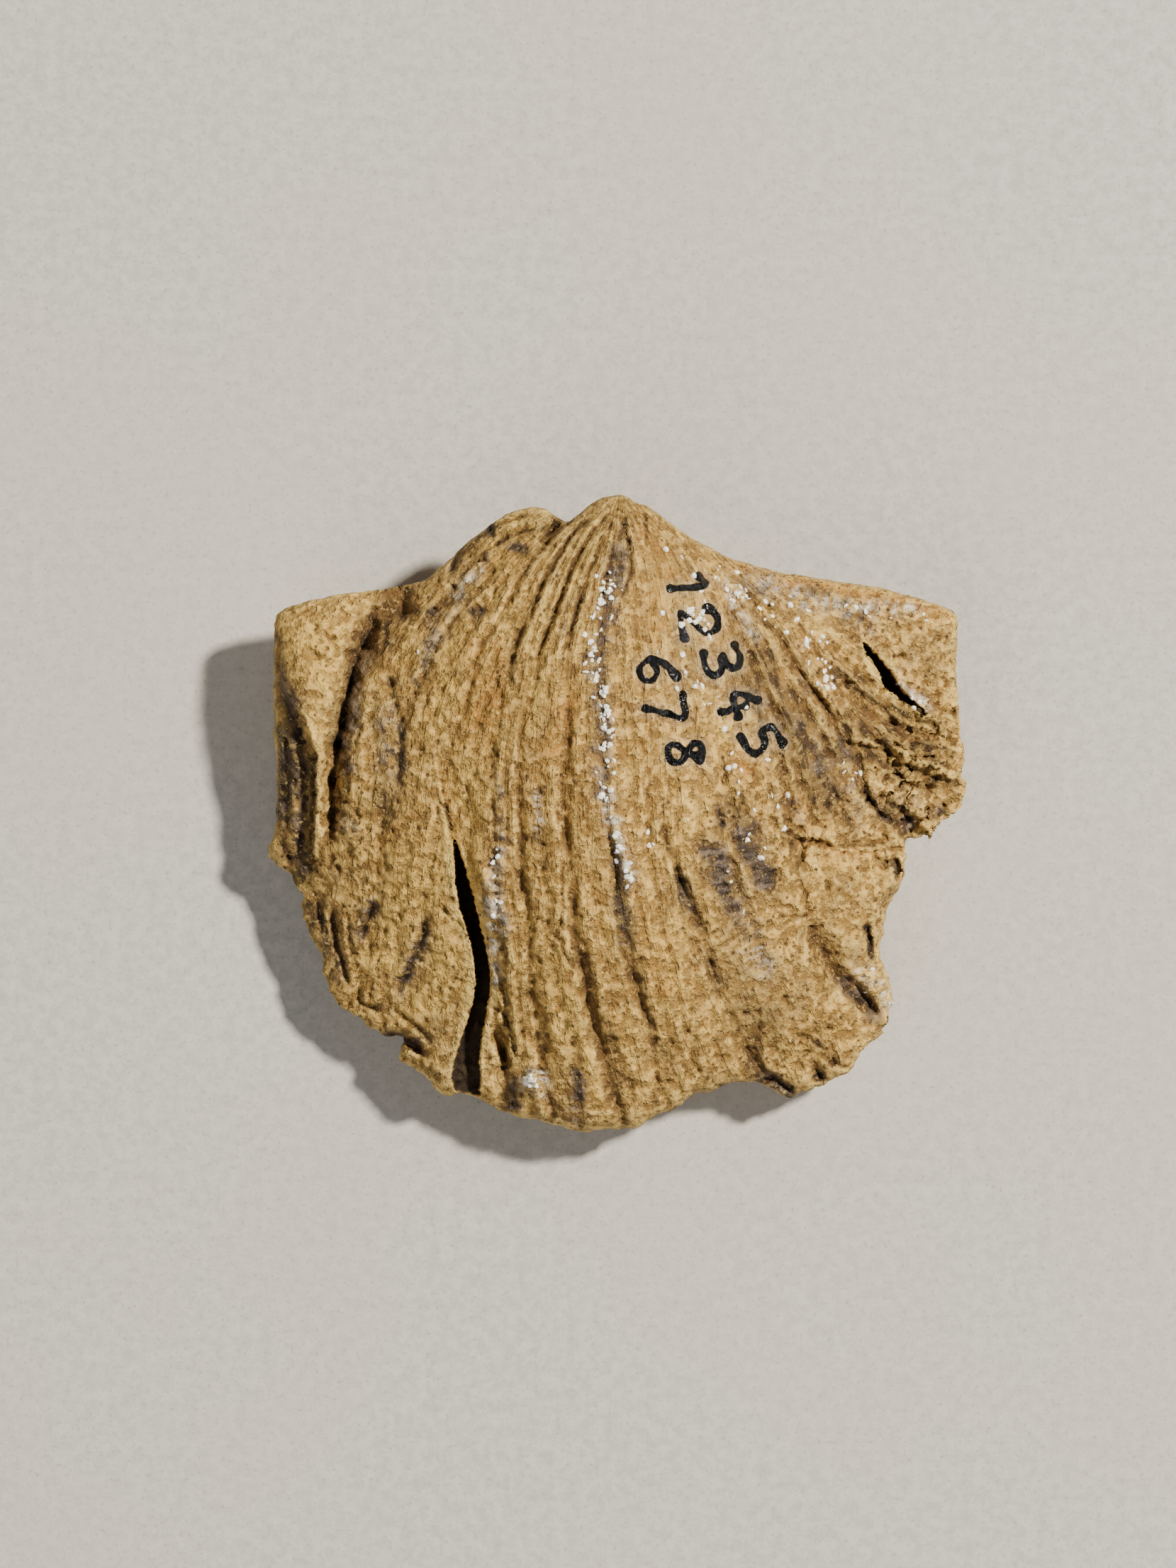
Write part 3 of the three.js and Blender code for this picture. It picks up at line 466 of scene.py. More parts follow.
# %% Grooves in the middle
GROOVES += [
    (0.42, 0.4, [[-3.0, 11.7], [-3.6, 4.8], [-3.6, 2.7], [-3.6, 0.2], [-3.5, -1.8]]),
    (0.36, 0.36, [[-3.6, 0.6], [-3.5, -1.8], [-3.0, -4.5], [-3.0, -7.9], [-2.4, -10.0], [-2.1, -12.5],
                  [-1.0, -16.6]]),
    (0.48, 0.75, [[-2.6, -9.0], [-2.0, -13.0], [-1.0, -16.6], [0.0, -19.3], [0.6, -21.6]]),
    (0.4, 0.32, [[-0.6, -15.4], [0.5, -17.7], [1.4, -20.5]]),
    (0.3, 0.14, [[-3.9, -3.0], [-3.9, -5.8], [-4.0, -7.5], [-4.5, -8.4]]),
    (0.3, 0.14, [[-4.5, -8.4], [-3.9, -8.9], [-3.5, -9.9], [-2.9, -10.7]]),
    (0.24, 0.36, [[-6.8, 0.8], [-6.7, -5.8]]),
    (0.25, 0.12, [[-4.3, 1.0], [-4.1, -0.9]]),
    (0.3, 0.32, [[-6.1, -12.0], [-6.2, -16.1]]),
    (0.3, 0.32, [[-5.7, -12.5], [-5.4, -14.2], [-4.8, -17.0]]),
    (0.4, 0.2, [[-8.6, -10.3], [-7.9, -12.6], [-7.7, -13.6]]),
    (0.3, 0.15, [[-0.6, -1.8], [-0.1, -3.2], [-0.1, -7.2], [0.3, -9.6], [1.1, -10.7]]),
    (0.26, 0.31, [[1.1, -10.7], [1.7, -13.1], [2.4, -14.8]]),
    (0.36, 0.32, [[3.7, -15.7], [4.5, -17.3], [5.4, -18.9]]),
    (0.36, 0.32, [[4.4, -4.5], [5.2, -7.0], [5.6, -8.3]]),
    (0.25, 0.14, [[6.3, -9.7], [6.9, -11.3], [7.5, -12.3]]),
    (0.3, 0.3, [[3.0, -0.5], [3.8, -3.0], [4.4, -5.0]]),
    (0.3, 0.35, [[6.4, -1.6], [7.4, -4.6], [8.7, -7.2]]),
    (-0.35, 0.4, [[7.6, -1.4], [8.4, -3.4], [9.6, -6.2]]),
    (-0.3, 0.4, [[-0.5, 1.0], [-0.1, -1.4], [0.7, -3.4], [1.2, -4.6]]),
    (0.55, 0.22, [[7.2, 0.2], [7.3, -0.8]]),
    (0.45, 0.28, [[4.5, -4.4], [4.6, -4.6]]),
]
print("grooves and ridges so far:", len(GROOVES))

# %% [markdown]
# The stone is squeezed up beside the open crack, and fine cracks and a small knob of calcite lie at its
# mouth. The cracks are narrow strokes. The swelling and the knob are broad ones with a negative depth,
# because a stroke can raise the ground as well as lower it.

# %% Grooves round the open crack
GROOVES += [
    (0.4, 0.14, [[-11.6, -1.2], [-11.9, -0.1], [-12.1, 0.5], [-12.6, 1.0]]),
    (0.25, 0.12, [[-12.7, 0.7], [-12.6, -0.3]]),
    (1.5, 0.32, [[-8.5, -15.0], [-8.2, -16.3], [-7.9, -17.6]]),
    (0.45, 0.14, [[-8.9, -13.5], [-8.2, -13.9], [-7.7, -14.5], [-7.4, -15.8], [-7.2, -17.1]]),
    (0.5, 0.16, [[-8.8, -17.7], [-8.3, -17.9], [-7.8, -17.7]]),
    (-0.7, 0.9, [[-9.6, -3.2], [-8.4, -7.0], [-7.9, -10.4], [-8.2, -12.6]]),
    (-0.9, 0.75, [[-6.0, -18.8], [-5.9, -18.8]]),
    (0.35, 0.3, [[-7.6, -19.2], [-7.3, -20.6]]),
]
print("grooves and ridges so far:", len(GROOVES))

# %% [markdown]
# The lobe left of the crack is smoother. It has two slanting scars, a dent in its edge and a few fine lines.
# Scars could be cut out of the mesh, but a short stroke gives the same look and keeps the surface whole.

# %% Grooves of the lower left lobe
GROOVES += [
    (0.45, 0.3, [[-17.2, -6.0], [-17.5, -7.2], [-18.1, -8.4]]),
    (0.4, 0.28, [[-13.4, -7.0], [-13.7, -8.4], [-14.4, -10.1], [-15.5, -12.3]]),
    (0.45, 0.16, [[-18.4, -12.8], [-18.1, -13.3], [-17.2, -13.7]]),
    (2.2, 0.32, [[-16.6, -15.8], [-15.4, -15.9], [-14.4, -16.2], [-13.8, -16.9]]),
    (0.6, 0.25, [[-20.2, -6.5], [-19.8, -9.5], [-19.0, -12.0]]),
    (0.5, 0.22, [[-21.2, -6.0], [-20.9, -8.6]]),
    (0.4, 0.22, [[-16.0, -13.6], [-14.6, -14.6], [-13.0, -16.2]]),
    (0.3, 0.2, [[-19.0, -7.0], [-18.9, -9.8]]),
]
print("grooves and ridges so far:", len(GROOVES))

# %% [markdown]
# The ear has broken off along a ragged line, so its furrows are deeper and cross each other, with pits
# between. The fan alone is too regular for that, so these strokes lie over its ribs.

# %% Grooves of the right flank and the ear
GROOVES += [
    (0.55, 0.35, [[11.2, 12.6], [12.2, 10.9], [13.2, 9.3], [14.2, 8.0], [15.9, 6.5]]),
    (0.7, 0.4, [[14.2, 10.8], [15.8, 9.0], [16.9, 7.8], [18.1, 6.9], [21.0, 5.9], [23.6, 5.4]]),
    (0.5, 0.18, [[18.1, 5.4], [19.0, 4.7], [19.6, 4.0]]),
    (0.35, 0.22, [[9.0, 16.0], [9.6, 14.2], [11.0, 12.8]]),
    (0.4, 0.35, [[7.6, 15.6], [8.4, 13.0], [9.6, 10.4], [11.4, 6.6]]),
    (0.4, 0.2, [[15.9, 6.4], [16.8, 4.6], [17.2, 2.8]]),
    (0.8, 0.2, [[17.2, 2.2], [17.7, 1.1], [18.5, 0.2], [19.4, -0.5], [20.2, -1.0]]),
    (0.6, 0.18, [[19.2, 0.9], [20.2, 0.3], [20.8, -0.6]]),
    (0.3, 0.14, [[15.0, 2.0], [15.8, 0.6], [16.6, -0.8]]),
    (0.4, 0.18, [[16.4, 12.6], [17.2, 12.2]]),
    (2.6, 0.5, [[20.3, -0.2], [20.7, -1.4]]),
    (2.0, 0.34, [[22.7, 0.8], [22.9, -0.3]]),
    (0.4, 0.25, [[21.5, 4.2], [23.5, 3.4]]),
    (1.3, 0.22, [[19.5, -2.9], [19.9, -3.4], [19.7, -4.3]]),
    (0.3, 0.16, [[10.8, -0.6], [13.0, -1.7], [15.1, -2.1], [17.2, -2.2], [19.4, -1.9]]),
    (0.35, 0.25, [[16.4, 10.4], [18.0, 8.6], [20.4, 6.9], [23.4, 6.4]]),
    (0.45, 0.35, [[12.4, 9.0], [14.0, 6.0], [15.4, 3.6], [16.2, 1.0]]),
    (0.45, 0.35, [[10.6, 8.2], [12.2, 4.6], [13.2, 1.4], [13.8, -1.0]]),
    (-0.3, 0.3, [[19.6, 9.9], [20.8, 8.5], [22.2, 7.3]]),
    (0.9, 0.2, [[17.6, -7.7], [18.0, -9.3], [17.9, -10.1]]),
    (0.3, 0.16, [[11.4, -7.0], [12.6, -7.3], [13.4, -6.9]]),
    (0.25, 0.12, [[11.5, 16.3], [13.8, 15.2], [16.4, 14.9], [21.6, 14.9], [23.9, 14.4]]),
]
print("grooves and ridges so far:", len(GROOVES))

# %% [markdown]
# In the lower right the ribs have faded to broad shallow folds, and bits have flaked off along the edge.
# Wide strokes of little depth give the folds, two of them raised, and narrow ones the furrows and chips.

# %% Grooves of the lower right
GROOVES += [
    (0.3, 0.9, [[4.4, -4.4], [5.6, -8.4], [7.4, -12.4]]),
    (0.28, 0.85, [[0.6, -9.6], [2.4, -14.8], [3.8, -18.6]]),
    (0.38, 0.9, [[7.6, -13.6], [9.6, -16.6], [11.2, -19.0]]),
    (-0.28, 1.0, [[2.4, -6.0], [3.8, -11.0], [5.4, -16.6]]),
    (-0.25, 0.9, [[8.6, -9.4], [10.4, -13.0], [13.2, -17.0]]),
    (0.7, 0.75, [[13.3, -7.8], [14.8, -9.8], [15.6, -11.3], [17.2, -13.0], [18.6, -14.6]]),
    (0.5, 0.22, [[15.4, -11.1], [16.4, -12.4], [17.7, -14.0]]),
    (0.5, 0.22, [[16.2, -11.4], [17.3, -12.5], [18.6, -14.2]]),
    (0.6, 0.32, [[8.9, -16.2], [10.4, -18.3], [11.8, -19.7]]),
    (0.9, 0.25, [[9.9, -18.7], [11.2, -18.7], [12.5, -19.8]]),
    (0.4, 0.18, [[12.5, -15.5], [13.3, -15.6], [14.3, -16.4], [14.8, -17.2]]),
    (0.9, 0.26, [[14.0, -17.8], [14.5, -18.7]]),
    (0.7, 0.22, [[15.3, -17.5], [16.3, -17.9]]),
    (0.6, 0.15, [[6.8, -19.0], [8.2, -19.2]]),
]
print("grooves and ridges in all:", len(GROOVES))

# %% [markdown]
# Where a thin plate of the shell has broken away, the ground drops along one side of a line and rises again
# farther off. A step has the height of that drop and how far it reaches. The smaller valve underneath has a
# few broad furrows of its own, which can't be seen from above.

# %% Torn plates and the furrows underneath
STEPS = [
    (0.9, 2.4, [[17.9, 5.0], [19.6, 4.7], [20.1, 4.0], [22.9, 2.8], [24.7, 2.3]]),
    (0.5, 2.0, [[13.3, -1.6], [14.8, -1.6], [15.3, -2.2], [16.4, -2.5], [18.6, -2.3]]),
    (0.5, 2.0, [[22.1, 7.1], [21.4, 7.6], [19.9, 9.1], [17.7, 11.9], [16.4, 12.6]]),
    (0.8, 3.2, [[-9.8, -19.5], [-9.9, -12.5], [-10.2, -9.5], [-11.4, -3.7], [-12.1, 0.5]]),
    (0.25, 1.2, [[19.1, -3.1], [19.4, -4.4], [19.4, -5.5]]),
    (0.35, 1.0, [[-13.2, 13.7], [-12.8, 14.6], [-11.2, 16.3], [-9.4, 17.9], [-7.5, 19.5]]),
    (0.2, 1.0, [[20.0, 2.6], [21.4, 2.4], [22.8, 2.0]]),
    (0.9, 1.8, [[-23.9, 13.4], [-23.8, 12.5], [-23.3, 8.5], [-21.9, 6.7], [-21.5, 5.6], [-21.2, 2.0],
                [-21.4, -2.5]]),
    (0.5, 1.2, [[-19.9, 5.9], [-19.5, 7.7], [-18.8, 10.2], [-17.8, 12.8], [-18.1, 13.5], [-16.1, 15.6]]),
    (0.2, 0.8, [[-12.5, 17.2], [-11.4, 18.2], [-9.6, 19.2], [-8.0, 20.2], [-6.0, 20.6]]),
    (0.25, 0.9, [[8.0, 17.4], [11.5, 16.3], [13.8, 15.2], [16.4, 14.9], [21.6, 14.9], [23.9, 14.4]]),
]
BELLY_GROOVES = [
    (0.9, 0.7, [[-15.0, 15.1], [-8.0, 16.3], [8.0, 16.3], [17.0, 14.9]]),
    (1.1, 1.3, [[0.1, 16.8], [0.2, 20.4]]),
    (0.4, 0.6, [[-19.0, 2.0], [-16.5, -6.0], [-10.0, -12.5], [0.0, -15.5], [9.0, -13.0], [15.0, -7.0],
                [18.0, 1.0]]),
    (0.3, 0.25, [[-17.0, 6.0], [-13.0, -4.0], [-8.0, -9.5], [0.0, -11.8], [8.0, -9.5], [13.0, -3.5]]),
]
print("torn steps:", len(STEPS), " furrows underneath:", len(BELLY_GROOVES))

# %% [markdown]
# A drawn line turns into relief with a soft round section. It wanders a little, is deeper in some places
# than in others and thins out at its ends, because nothing in stone is ruled. The same helper paints colours
# later.

# %% From lines to relief
WANDER_SIZE, UNEVEN_SIZE = 1.3, 0.9
REACH_IN_WIDTHS = 3.0
LEFT_AT_ENDS = 0.35
STEP_WALL = 0.2


def stroke_field(x, y, strokes, fade=0.12, wander=0.1, uneven=0.45):
    """The summed depth of soft strokes at each place. They wander a little, and thin out at both ends."""
    total = np.zeros_like(x)
    x = x + wander * noise(x, y, 0.0, WANDER_SIZE, seed=91)
    y = y + wander * noise(x, y, 0.0, WANDER_SIZE, seed=92)
    unevenness = 1.0 + uneven * noise(x, y, 0.0, UNEVEN_SIZE, seed=93)
    for depth, width, line in strokes:
        corners = np.array(line)
        reach = REACH_IN_WIDTHS * width
        near = (x > corners[:, 0].min() - reach) & (x < corners[:, 0].max() + reach)
        near &= (y > corners[:, 1].min() - reach) & (y < corners[:, 1].max() + reach)
        distance, _, along = nearest_on_line(x[near], y[near], line)
        ends = LEFT_AT_ENDS + (1.0 - LEFT_AT_ENDS) * smooth_step(np.minimum(along, 1.0 - along) / fade)
        long_line = np.hypot(*(corners[-1] - corners[0])) > 2.0 * width
        soft = depth * np.exp(-(distance / width) ** 2) * (ends if long_line else 1.0)
        total[near] += soft * unevenness[near]
    return total


def step_field(x, y):
    """How far the torn plates have dropped. The ground right of each line, along its course, is lower."""
    total = np.zeros_like(x)
    for drop, reach, line in STEPS:
        distance, side, _ = nearest_on_line(x, y, line)
        fallen = drop * smooth_step(distance / STEP_WALL) * np.exp(-(distance / reach) ** 2)
        total += np.where(side > 0, fallen, 0.0)
    return total


print("drop beside the ear's tear, mm:", np.round(step_field(np.array([20.0]), np.array([3.0])), 2))

# %% [markdown]
# Two breaks go deep into the stone: the long open crack in the front left and the slit in the ear. Their
# edges stay at the height of the surface, and everything inside them drops to a sloping floor, so that they
# read as black from above, as real cracks do.

# %% The open crack and the slit
CRACK_OUTLINE = np.array([
    [-11.6, -1.0], [-11.4, -5.7], [-10.2, -9.5], [-10.0, -12.5], [-11.7, -17.5], [-11.8, -18.5],
    [-11.5, -19.7],
    [-9.7, -19.9], [-9.6, -18.9], [-9.7, -16.6], [-8.9, -12.5], [-8.9, -10.7], [-9.9, -6.3], [-11.0, -2.5],
])
CRACK_FLOOR = ((-1.0, 10.2), (-20.8, 5.5))
SLIT_OUTLINE = np.array([
    [17.0, 12.3], [18.5, 9.9], [18.6, 9.2], [21.8, 6.9], [22.1, 7.1], [19.9, 9.1], [19.6, 10.0], [17.5, 12.2],
])
SLIT_FLOOR = ((12.3, 7.6), (6.9, 6.4))
CRACK_SPACING, SLIT_SPACING = 0.15, 0.12
WALL_WIDTH = 0.12
FLOOR_BUMPS, FLOOR_BUMP_SIZE = 0.35, 1.1
BREAKS = [
    (evenly_spaced(cut_corners(CRACK_OUTLINE), CRACK_SPACING), CRACK_FLOOR),
    (evenly_spaced(cut_corners(SLIT_OUTLINE), SLIT_SPACING), SLIT_FLOOR),
]


def sink_into_breaks(x, y, height):
    """Heights with the crack and the slit cut into them, and how deep inside them each place lies, 0 to 1."""
    depth = np.zeros_like(x)
    for loop, ((back_y, back_z), (front_y, front_z)) in BREAKS:
        inside = is_inside(x, y, loop)
        distance, _, _ = nearest_on_line(x[inside], y[inside], np.vstack([loop, loop[:1]]))
        share = smooth_step(distance / WALL_WIDTH)
        floor = back_z + (y[inside] - back_y) * (front_z - back_z) / (front_y - back_y)
        floor = floor + FLOOR_BUMPS * noise(x[inside], y[inside], 0.0, FLOOR_BUMP_SIZE, seed=31)
        height[inside] = height[inside] * (1.0 - share) + np.minimum(floor, height[inside]) * share
        depth[inside] = share
    return height, depth


print("points round the crack and the slit:", [len(loop) for loop, _ in BREAKS])

# %% [markdown]
# How worn a region is differs over the shell. Two blends say how ragged its edge is and how much of its
# outer layer has flaked off. A few ribs still carry the growth lines that cross them like beads.

# %% Raggedness, flakes and beads
ROUGH_EDGES = blend_of([
    [0, 22, 0.05], [-8, 21, 0.08], [8, 18, 0.05], [16, 16.5, 0.04], [24, 13, 0.06], [24, 7, 0.12],
    [24.4, 2, 0.3],
    [21, -2, 0.3], [19, -8, 0.2], [19, -15, 0.25], [14, -19, 0.25], [8, -19, 0.22], [2, -21.5, 0.25],
    [-5, -21.5, 0.2], [-11, -19.7, 0.2], [-15, -17, 0.3], [-20, -12, 0.25], [-24, -2, 0.25], [-24.3, 6, 0.12],
    [-24, 13, 0.08], [-18, 15.8, 0.06], [-13, 17, 0.08],
])
FLAKINESS = blend_of([
    [0, 12, 0.25], [-8, 10, 0.5], [-14, 4, 0.5], [-20, 12, 0.5], [-22, 0, 0.9], [-18, -10, 0.7],
    [-13, -14, 0.6],
    [-6, 0, 0.4], [-5, -14, 0.5], [3, -4, 0.4], [7, -14, 0.6], [13, -14, 0.9], [17, -8, 0.8], [18, -1, 1.0],
    [21, 2, 3.5], [22, 0, 3.5], [23.5, 2, 2.0], [16, 5, 0.7], [21, 11, 0.9], [10, 10, 0.35],
    [14, 15.5, 0.5], [4, 16, 0.2],
])
BEADED_RIBS = [
    (1.0, 0.55, [[9.0, -0.8], [9.5, -2.3], [10.3, -3.4], [10.8, -4.9]]),
    (1.0, 0.55, [[6.8, -2.4], [7.9, -5.2], [9.1, -7.4]]),
    (1.0, 0.6, [[-8.3, 1.8], [-8.1, -2.8], [-8.7, -5.2], [-8.2, -6.8], [-8.0, -9.1]]),
    (0.8, 0.5, [[-0.7, 3.0], [-0.4, -1.0], [0.4, -3.2], [1.0, -4.8]]),
    (0.6, 0.9, [[-5.4, -2.0], [-5.4, -8.0]]),
    (0.6, 0.5, [[4.6, -3.0], [5.6, -6.6], [6.6, -9.4]]),
]
print("flakiness at the torn ear:", np.round(FLAKINESS(np.array([21.0]), np.array([2.0])), 2))

# %% [markdown]
# Near the edge both skins curve over towards the rim on a quarter circle, as the two valves of a shell do,
# and the rim has a thickness that comes and goes. Flakes are flat grounds with short steep edges between
# them.

# %% Rim and flakes
FLAKE_LEVELS = 2.5
FLAKE_EDGE = 0.3


def rim_rise(x, y, edge_distance):
    """0 at the rim and 1 inside the width in which a skin curves over."""
    share = np.minimum(edge_distance / round_over(x, y), 1.0)
    return np.sqrt(1.0 - (1.0 - share) ** 2)


def rim_thickness(x, y):
    """Half the height of the rim, which is uneven."""
    return RIM_HALF_THICKNESS * (1.0 + 0.5 * noise(x, y, 0.0, 1.6, seed=5))


def flakes(x, y, size, seed):
    """A ground of flat flakes with short steep edges between them."""
    level = layered_noise(x, y, 0.0, size, 3, seed) * FLAKE_LEVELS
    return np.floor(level) + smooth_step((level - np.floor(level)) / FLAKE_EDGE)


print("rim thickness at the beak, mm:", np.round(2.0 * rim_thickness(np.array([0.0]), np.array([22.0])), 2))

# %% [markdown]
# Now the height of the domed valve can be said in full. It carries ribs with narrow grooves, low folds and
# streaks that follow the fan, beads, flakes and fine cracks between them, and then every drawn groove and
# step. Its relief fades out towards the rim.

# %% The domed valve
RIB_WANDER, RIB_TREMBLE = 0.24, 0.09
RIB_UNEVENNESS = 0.4
FOLD_HEIGHT, STREAK_HEIGHT, WRINKLE_HEIGHT = 0.28, 0.1, 0.02
BEAD_HEIGHT, BEAD_SPACING, BEAD_WANDER = 0.15, 0.95, 0.35
FLAKE_HEIGHT, SMALL_FLAKE_HEIGHT = 0.09, 0.03
FLAKE_CRACK_DEPTH, FLAKE_CRACK_WIDTH, CRACKED_FROM = 0.35, 0.07, 0.45
FULL_STREAKS, STREAKS_LOST, LEAST_STREAKS = 1.2, 0.7, 0.3
# Strength and cap of the painted shade in grooves.
RIB_SHADE = 1.3
MOST_GROOVE_SHADE = 1.2


def top_skin(x, y, edge_distance):
    """Height of the domed valve and how deep each place lies in a groove."""
    wander = RIB_WANDER * noise(x, y, 0.0, 3.5, seed=1) + RIB_TREMBLE * noise(x, y, 0.0, 0.9, seed=2)
    number, distance = rib_number(x, y)
    ribs = rib_depth(x, y) * rib_groove(number + wander)
    ribs = ribs * (1.0 + RIB_UNEVENNESS * noise(x, y, 0.0, 2.2, seed=4))
    folds = FOLD_HEIGHT * noise(0.5 * number, 0.06 * distance, 0.0, 1.0, seed=17)
    streaks = STREAK_HEIGHT * layered_noise(2.1 * number, 0.22 * distance, 0.0, 1.0, 2, seed=14)
    wrinkles = WRINKLE_HEIGHT * noise(1.3 * number, 1.5 * distance, 0.0, 1.0, seed=15)
    growth = distance + BEAD_WANDER * noise(x, y, 0.0, 1.6, seed=3)
    beads = BEAD_HEIGHT * stroke_field(x, y, BEADED_RIBS) * np.cos(2.0 * np.pi * growth / BEAD_SPACING)
    loose = FLAKINESS(x, y)
    flaky = loose * (FLAKE_HEIGHT * flakes(x, y, 1.9, 11) + SMALL_FLAKE_HEIGHT * flakes(x, y, 0.8, 12))
    flake_cracks = np.exp(-(layered_noise(x, y, 0.0, 2.2, 2, 16) / FLAKE_CRACK_WIDTH) ** 2)
    flaky = flaky - FLAKE_CRACK_DEPTH * np.maximum(loose - CRACKED_FROM, 0.0) * flake_cracks
    grooves = stroke_field(x, y, GROOVES)
    along_fan = np.maximum(FULL_STREAKS - STREAKS_LOST * loose, LEAST_STREAKS) * (streaks + wrinkles)
    relief = folds - ribs + along_fan + beads + flaky - grooves - step_field(x, y)
    edge = rim_height(x, y) + rim_thickness(x, y)
    height = edge + np.maximum(dome(x, y) + relief - edge, 0.0) * rim_rise(x, y, edge_distance)
    height, inside_break = sink_into_breaks(x, y, height)
    # How dark each place is painted as shade in its groove.
    groove = np.clip(ribs * RIB_SHADE + np.maximum(grooves, 0.0), 0.0, MOST_GROOVE_SHADE)
    return height, groove, inside_break


test_height = top_skin(np.array([-1.8]), np.array([7.0]), np.array([10.0]))[0]
print("height on top of the dome with all its relief, mm:", np.round(test_height, 2))

# %% [markdown]
# The smaller valve lies underneath, and the hinge face rises behind it. Nothing of them shows in the
# photograph, so they get what such shells have there: finer ribs, growth lines and a little flaking. Where
# the stone would reach below the table it is worn flat, and on that flat the fossil rests.

# %% The smaller valve
HINGE_FACE_FROM, HINGE_FACE_BLEND = 15.2, 1.2
VALVE_RIBS, HINGE_FACE_RIBS, RIBLETS = 0.45, 0.1, 0.10
GROWTH_HEIGHT, GROWTH_SPACING, GROWTH_WANDER = 0.05, 1.1, 0.4
UNDER_FLAKES = 0.05


def bottom_skin(x, y, edge_distance):
    """Height of the smaller valve and of the hinge face behind it, worn flat where it touches the table."""
    wander = 0.12 * noise(x, y, 4.0, 3.0, seed=6)
    number, distance = rib_number(x, y)
    on_hinge_face = smooth_step((y - HINGE_FACE_FROM) / HINGE_FACE_BLEND)
    depth = VALVE_RIBS * (1.0 - on_hinge_face) + HINGE_FACE_RIBS * on_hinge_face
    ribs = depth * rib_groove(number + wander)
    fine = RIBLETS * rib_groove(4.0 * number, 1.0)
    grown = distance + GROWTH_WANDER * noise(x, y, 4.0, 3.0, seed=8)
    growth = GROWTH_HEIGHT * np.cos(2.0 * np.pi * grown / GROWTH_SPACING)
    flaky = UNDER_FLAKES * flakes(x, y, 1.8, 21)
    grooves = stroke_field(x, y, BELLY_GROOVES)
    edge = rim_height(x, y) - rim_thickness(x, y)
    raw = np.maximum(belly(x, y) + ribs + fine + growth + flaky + grooves, 0.0)
    height = edge - np.maximum(edge - raw, 0.0) * rim_rise(x, y, edge_distance)
    return height, np.clip(ribs + grooves, 0.0, 1.0)


print("height of the resting flat, mm:", bottom_skin(np.array([0.0]), np.array([1.0]), np.array([10.0]))[0])

# %% [markdown]
# The old catalogue marks on the shell are hand-drawn ink, flat on the stone. Here they are plain counting
# digits. Each digit is a few strokes in a box one unit high. They run down two slanting columns, turned a
# quarter to the right, and the distance to the nearest stroke is all that the material needs to blacken the
# stone.

# %% The digits
DIGITS = {
    "1": [[[0.12, 0.78], [0.34, 1.0], [0.33, 0.0]]],
    "2": [[[0.05, 0.75], [0.15, 0.95], [0.4, 1.0], [0.58, 0.8], [0.5, 0.55], [0.2, 0.25], [0.03, 0.02],
           [0.6, 0.05]]],
    "3": [[[0.08, 0.92], [0.35, 1.0], [0.55, 0.82], [0.45, 0.6], [0.25, 0.53]],
          [[0.25, 0.53], [0.5, 0.45], [0.6, 0.22], [0.4, 0.02], [0.08, 0.08]]],
    "4": [[[0.42, 1.0], [0.05, 0.4], [0.62, 0.38]], [[0.45, 0.66], [0.42, 0.0]]],
    "5": [[[0.55, 1.0], [0.15, 0.98], [0.12, 0.58], [0.4, 0.62], [0.58, 0.38], [0.45, 0.08], [0.1, 0.05]]],
    "6": [[[0.5, 0.98], [0.2, 0.7], [0.08, 0.35], [0.2, 0.05], [0.45, 0.03], [0.56, 0.28], [0.4, 0.48],
           [0.12, 0.38]]],
    "7": [[[0.05, 0.97], [0.58, 0.98], [0.35, 0.5], [0.22, 0.0]]],
    "8": [[[0.5, 0.82], [0.3, 1.0], [0.12, 0.8], [0.3, 0.55], [0.52, 0.3], [0.4, 0.04], [0.15, 0.05],
           [0.06, 0.28], [0.3, 0.53], [0.5, 0.82]]],
}
DIGIT_HEIGHT, DIGIT_BREADTH = 2.7, 3.5
DIGIT_MIDDLE = [0.32, 0.5]
INK_DIGITS = [
    ("1", 5.05, 16.0, 4.0), ("2", 5.7, 13.5, 8.0), ("3", 7.3, 10.8, 14.0), ("4", 8.4, 8.0, 18.0),
    ("5", 10.0, 5.3, 22.0), ("6", 2.8, 10.2, 4.0), ("7", 3.4, 7.3, 8.0), ("8", 4.7, 4.4, 14.0),
]
PEN_HALF_WIDTH, PEN_UNEVENNESS = 0.25, 0.35
BLOT, BLOT_LENGTH = 0.1, 0.08
HAND_WOBBLE = 0.08
FAR_AWAY = 9.0
print("digits on the shell:", " ".join(digit for digit, *_ in INK_DIGITS))

# %% [markdown]
# A hand rounds the corners of its strokes, and its pen blots where a stroke starts and ends. Both are made
# here, on the lines themselves, and the result is one number for each place: how far it is outside the ink.

# %% Ink strokes


def rounded(line):
    """An open line with its inner corners cut twice."""
    for _ in range(2):
        parts = [0.75 * line[:-1] + 0.25 * line[1:], 0.25 * line[:-1] + 0.75 * line[1:]]
        line = np.vstack([line[:1], np.stack(parts, axis=1).reshape(-1, 2), line[-1:]])
    return line


def ink_strokes():
    """Every pen stroke on the shell as a line in millimetres."""
    strokes = []
    for digit, x, y, degrees in INK_DIGITS:
        tilt = math.radians(degrees)
        upward = np.array([math.cos(tilt), math.sin(tilt)]) * DIGIT_HEIGHT
        onward = np.array([math.sin(tilt), -math.cos(tilt)]) * DIGIT_BREADTH
        for stroke in DIGITS[digit]:
            corners = rounded(np.array(stroke)) - np.array(DIGIT_MIDDLE)
            strokes.append(np.array([x, y]) + corners[:, :1] * onward + corners[:, 1:] * upward)
    return strokes


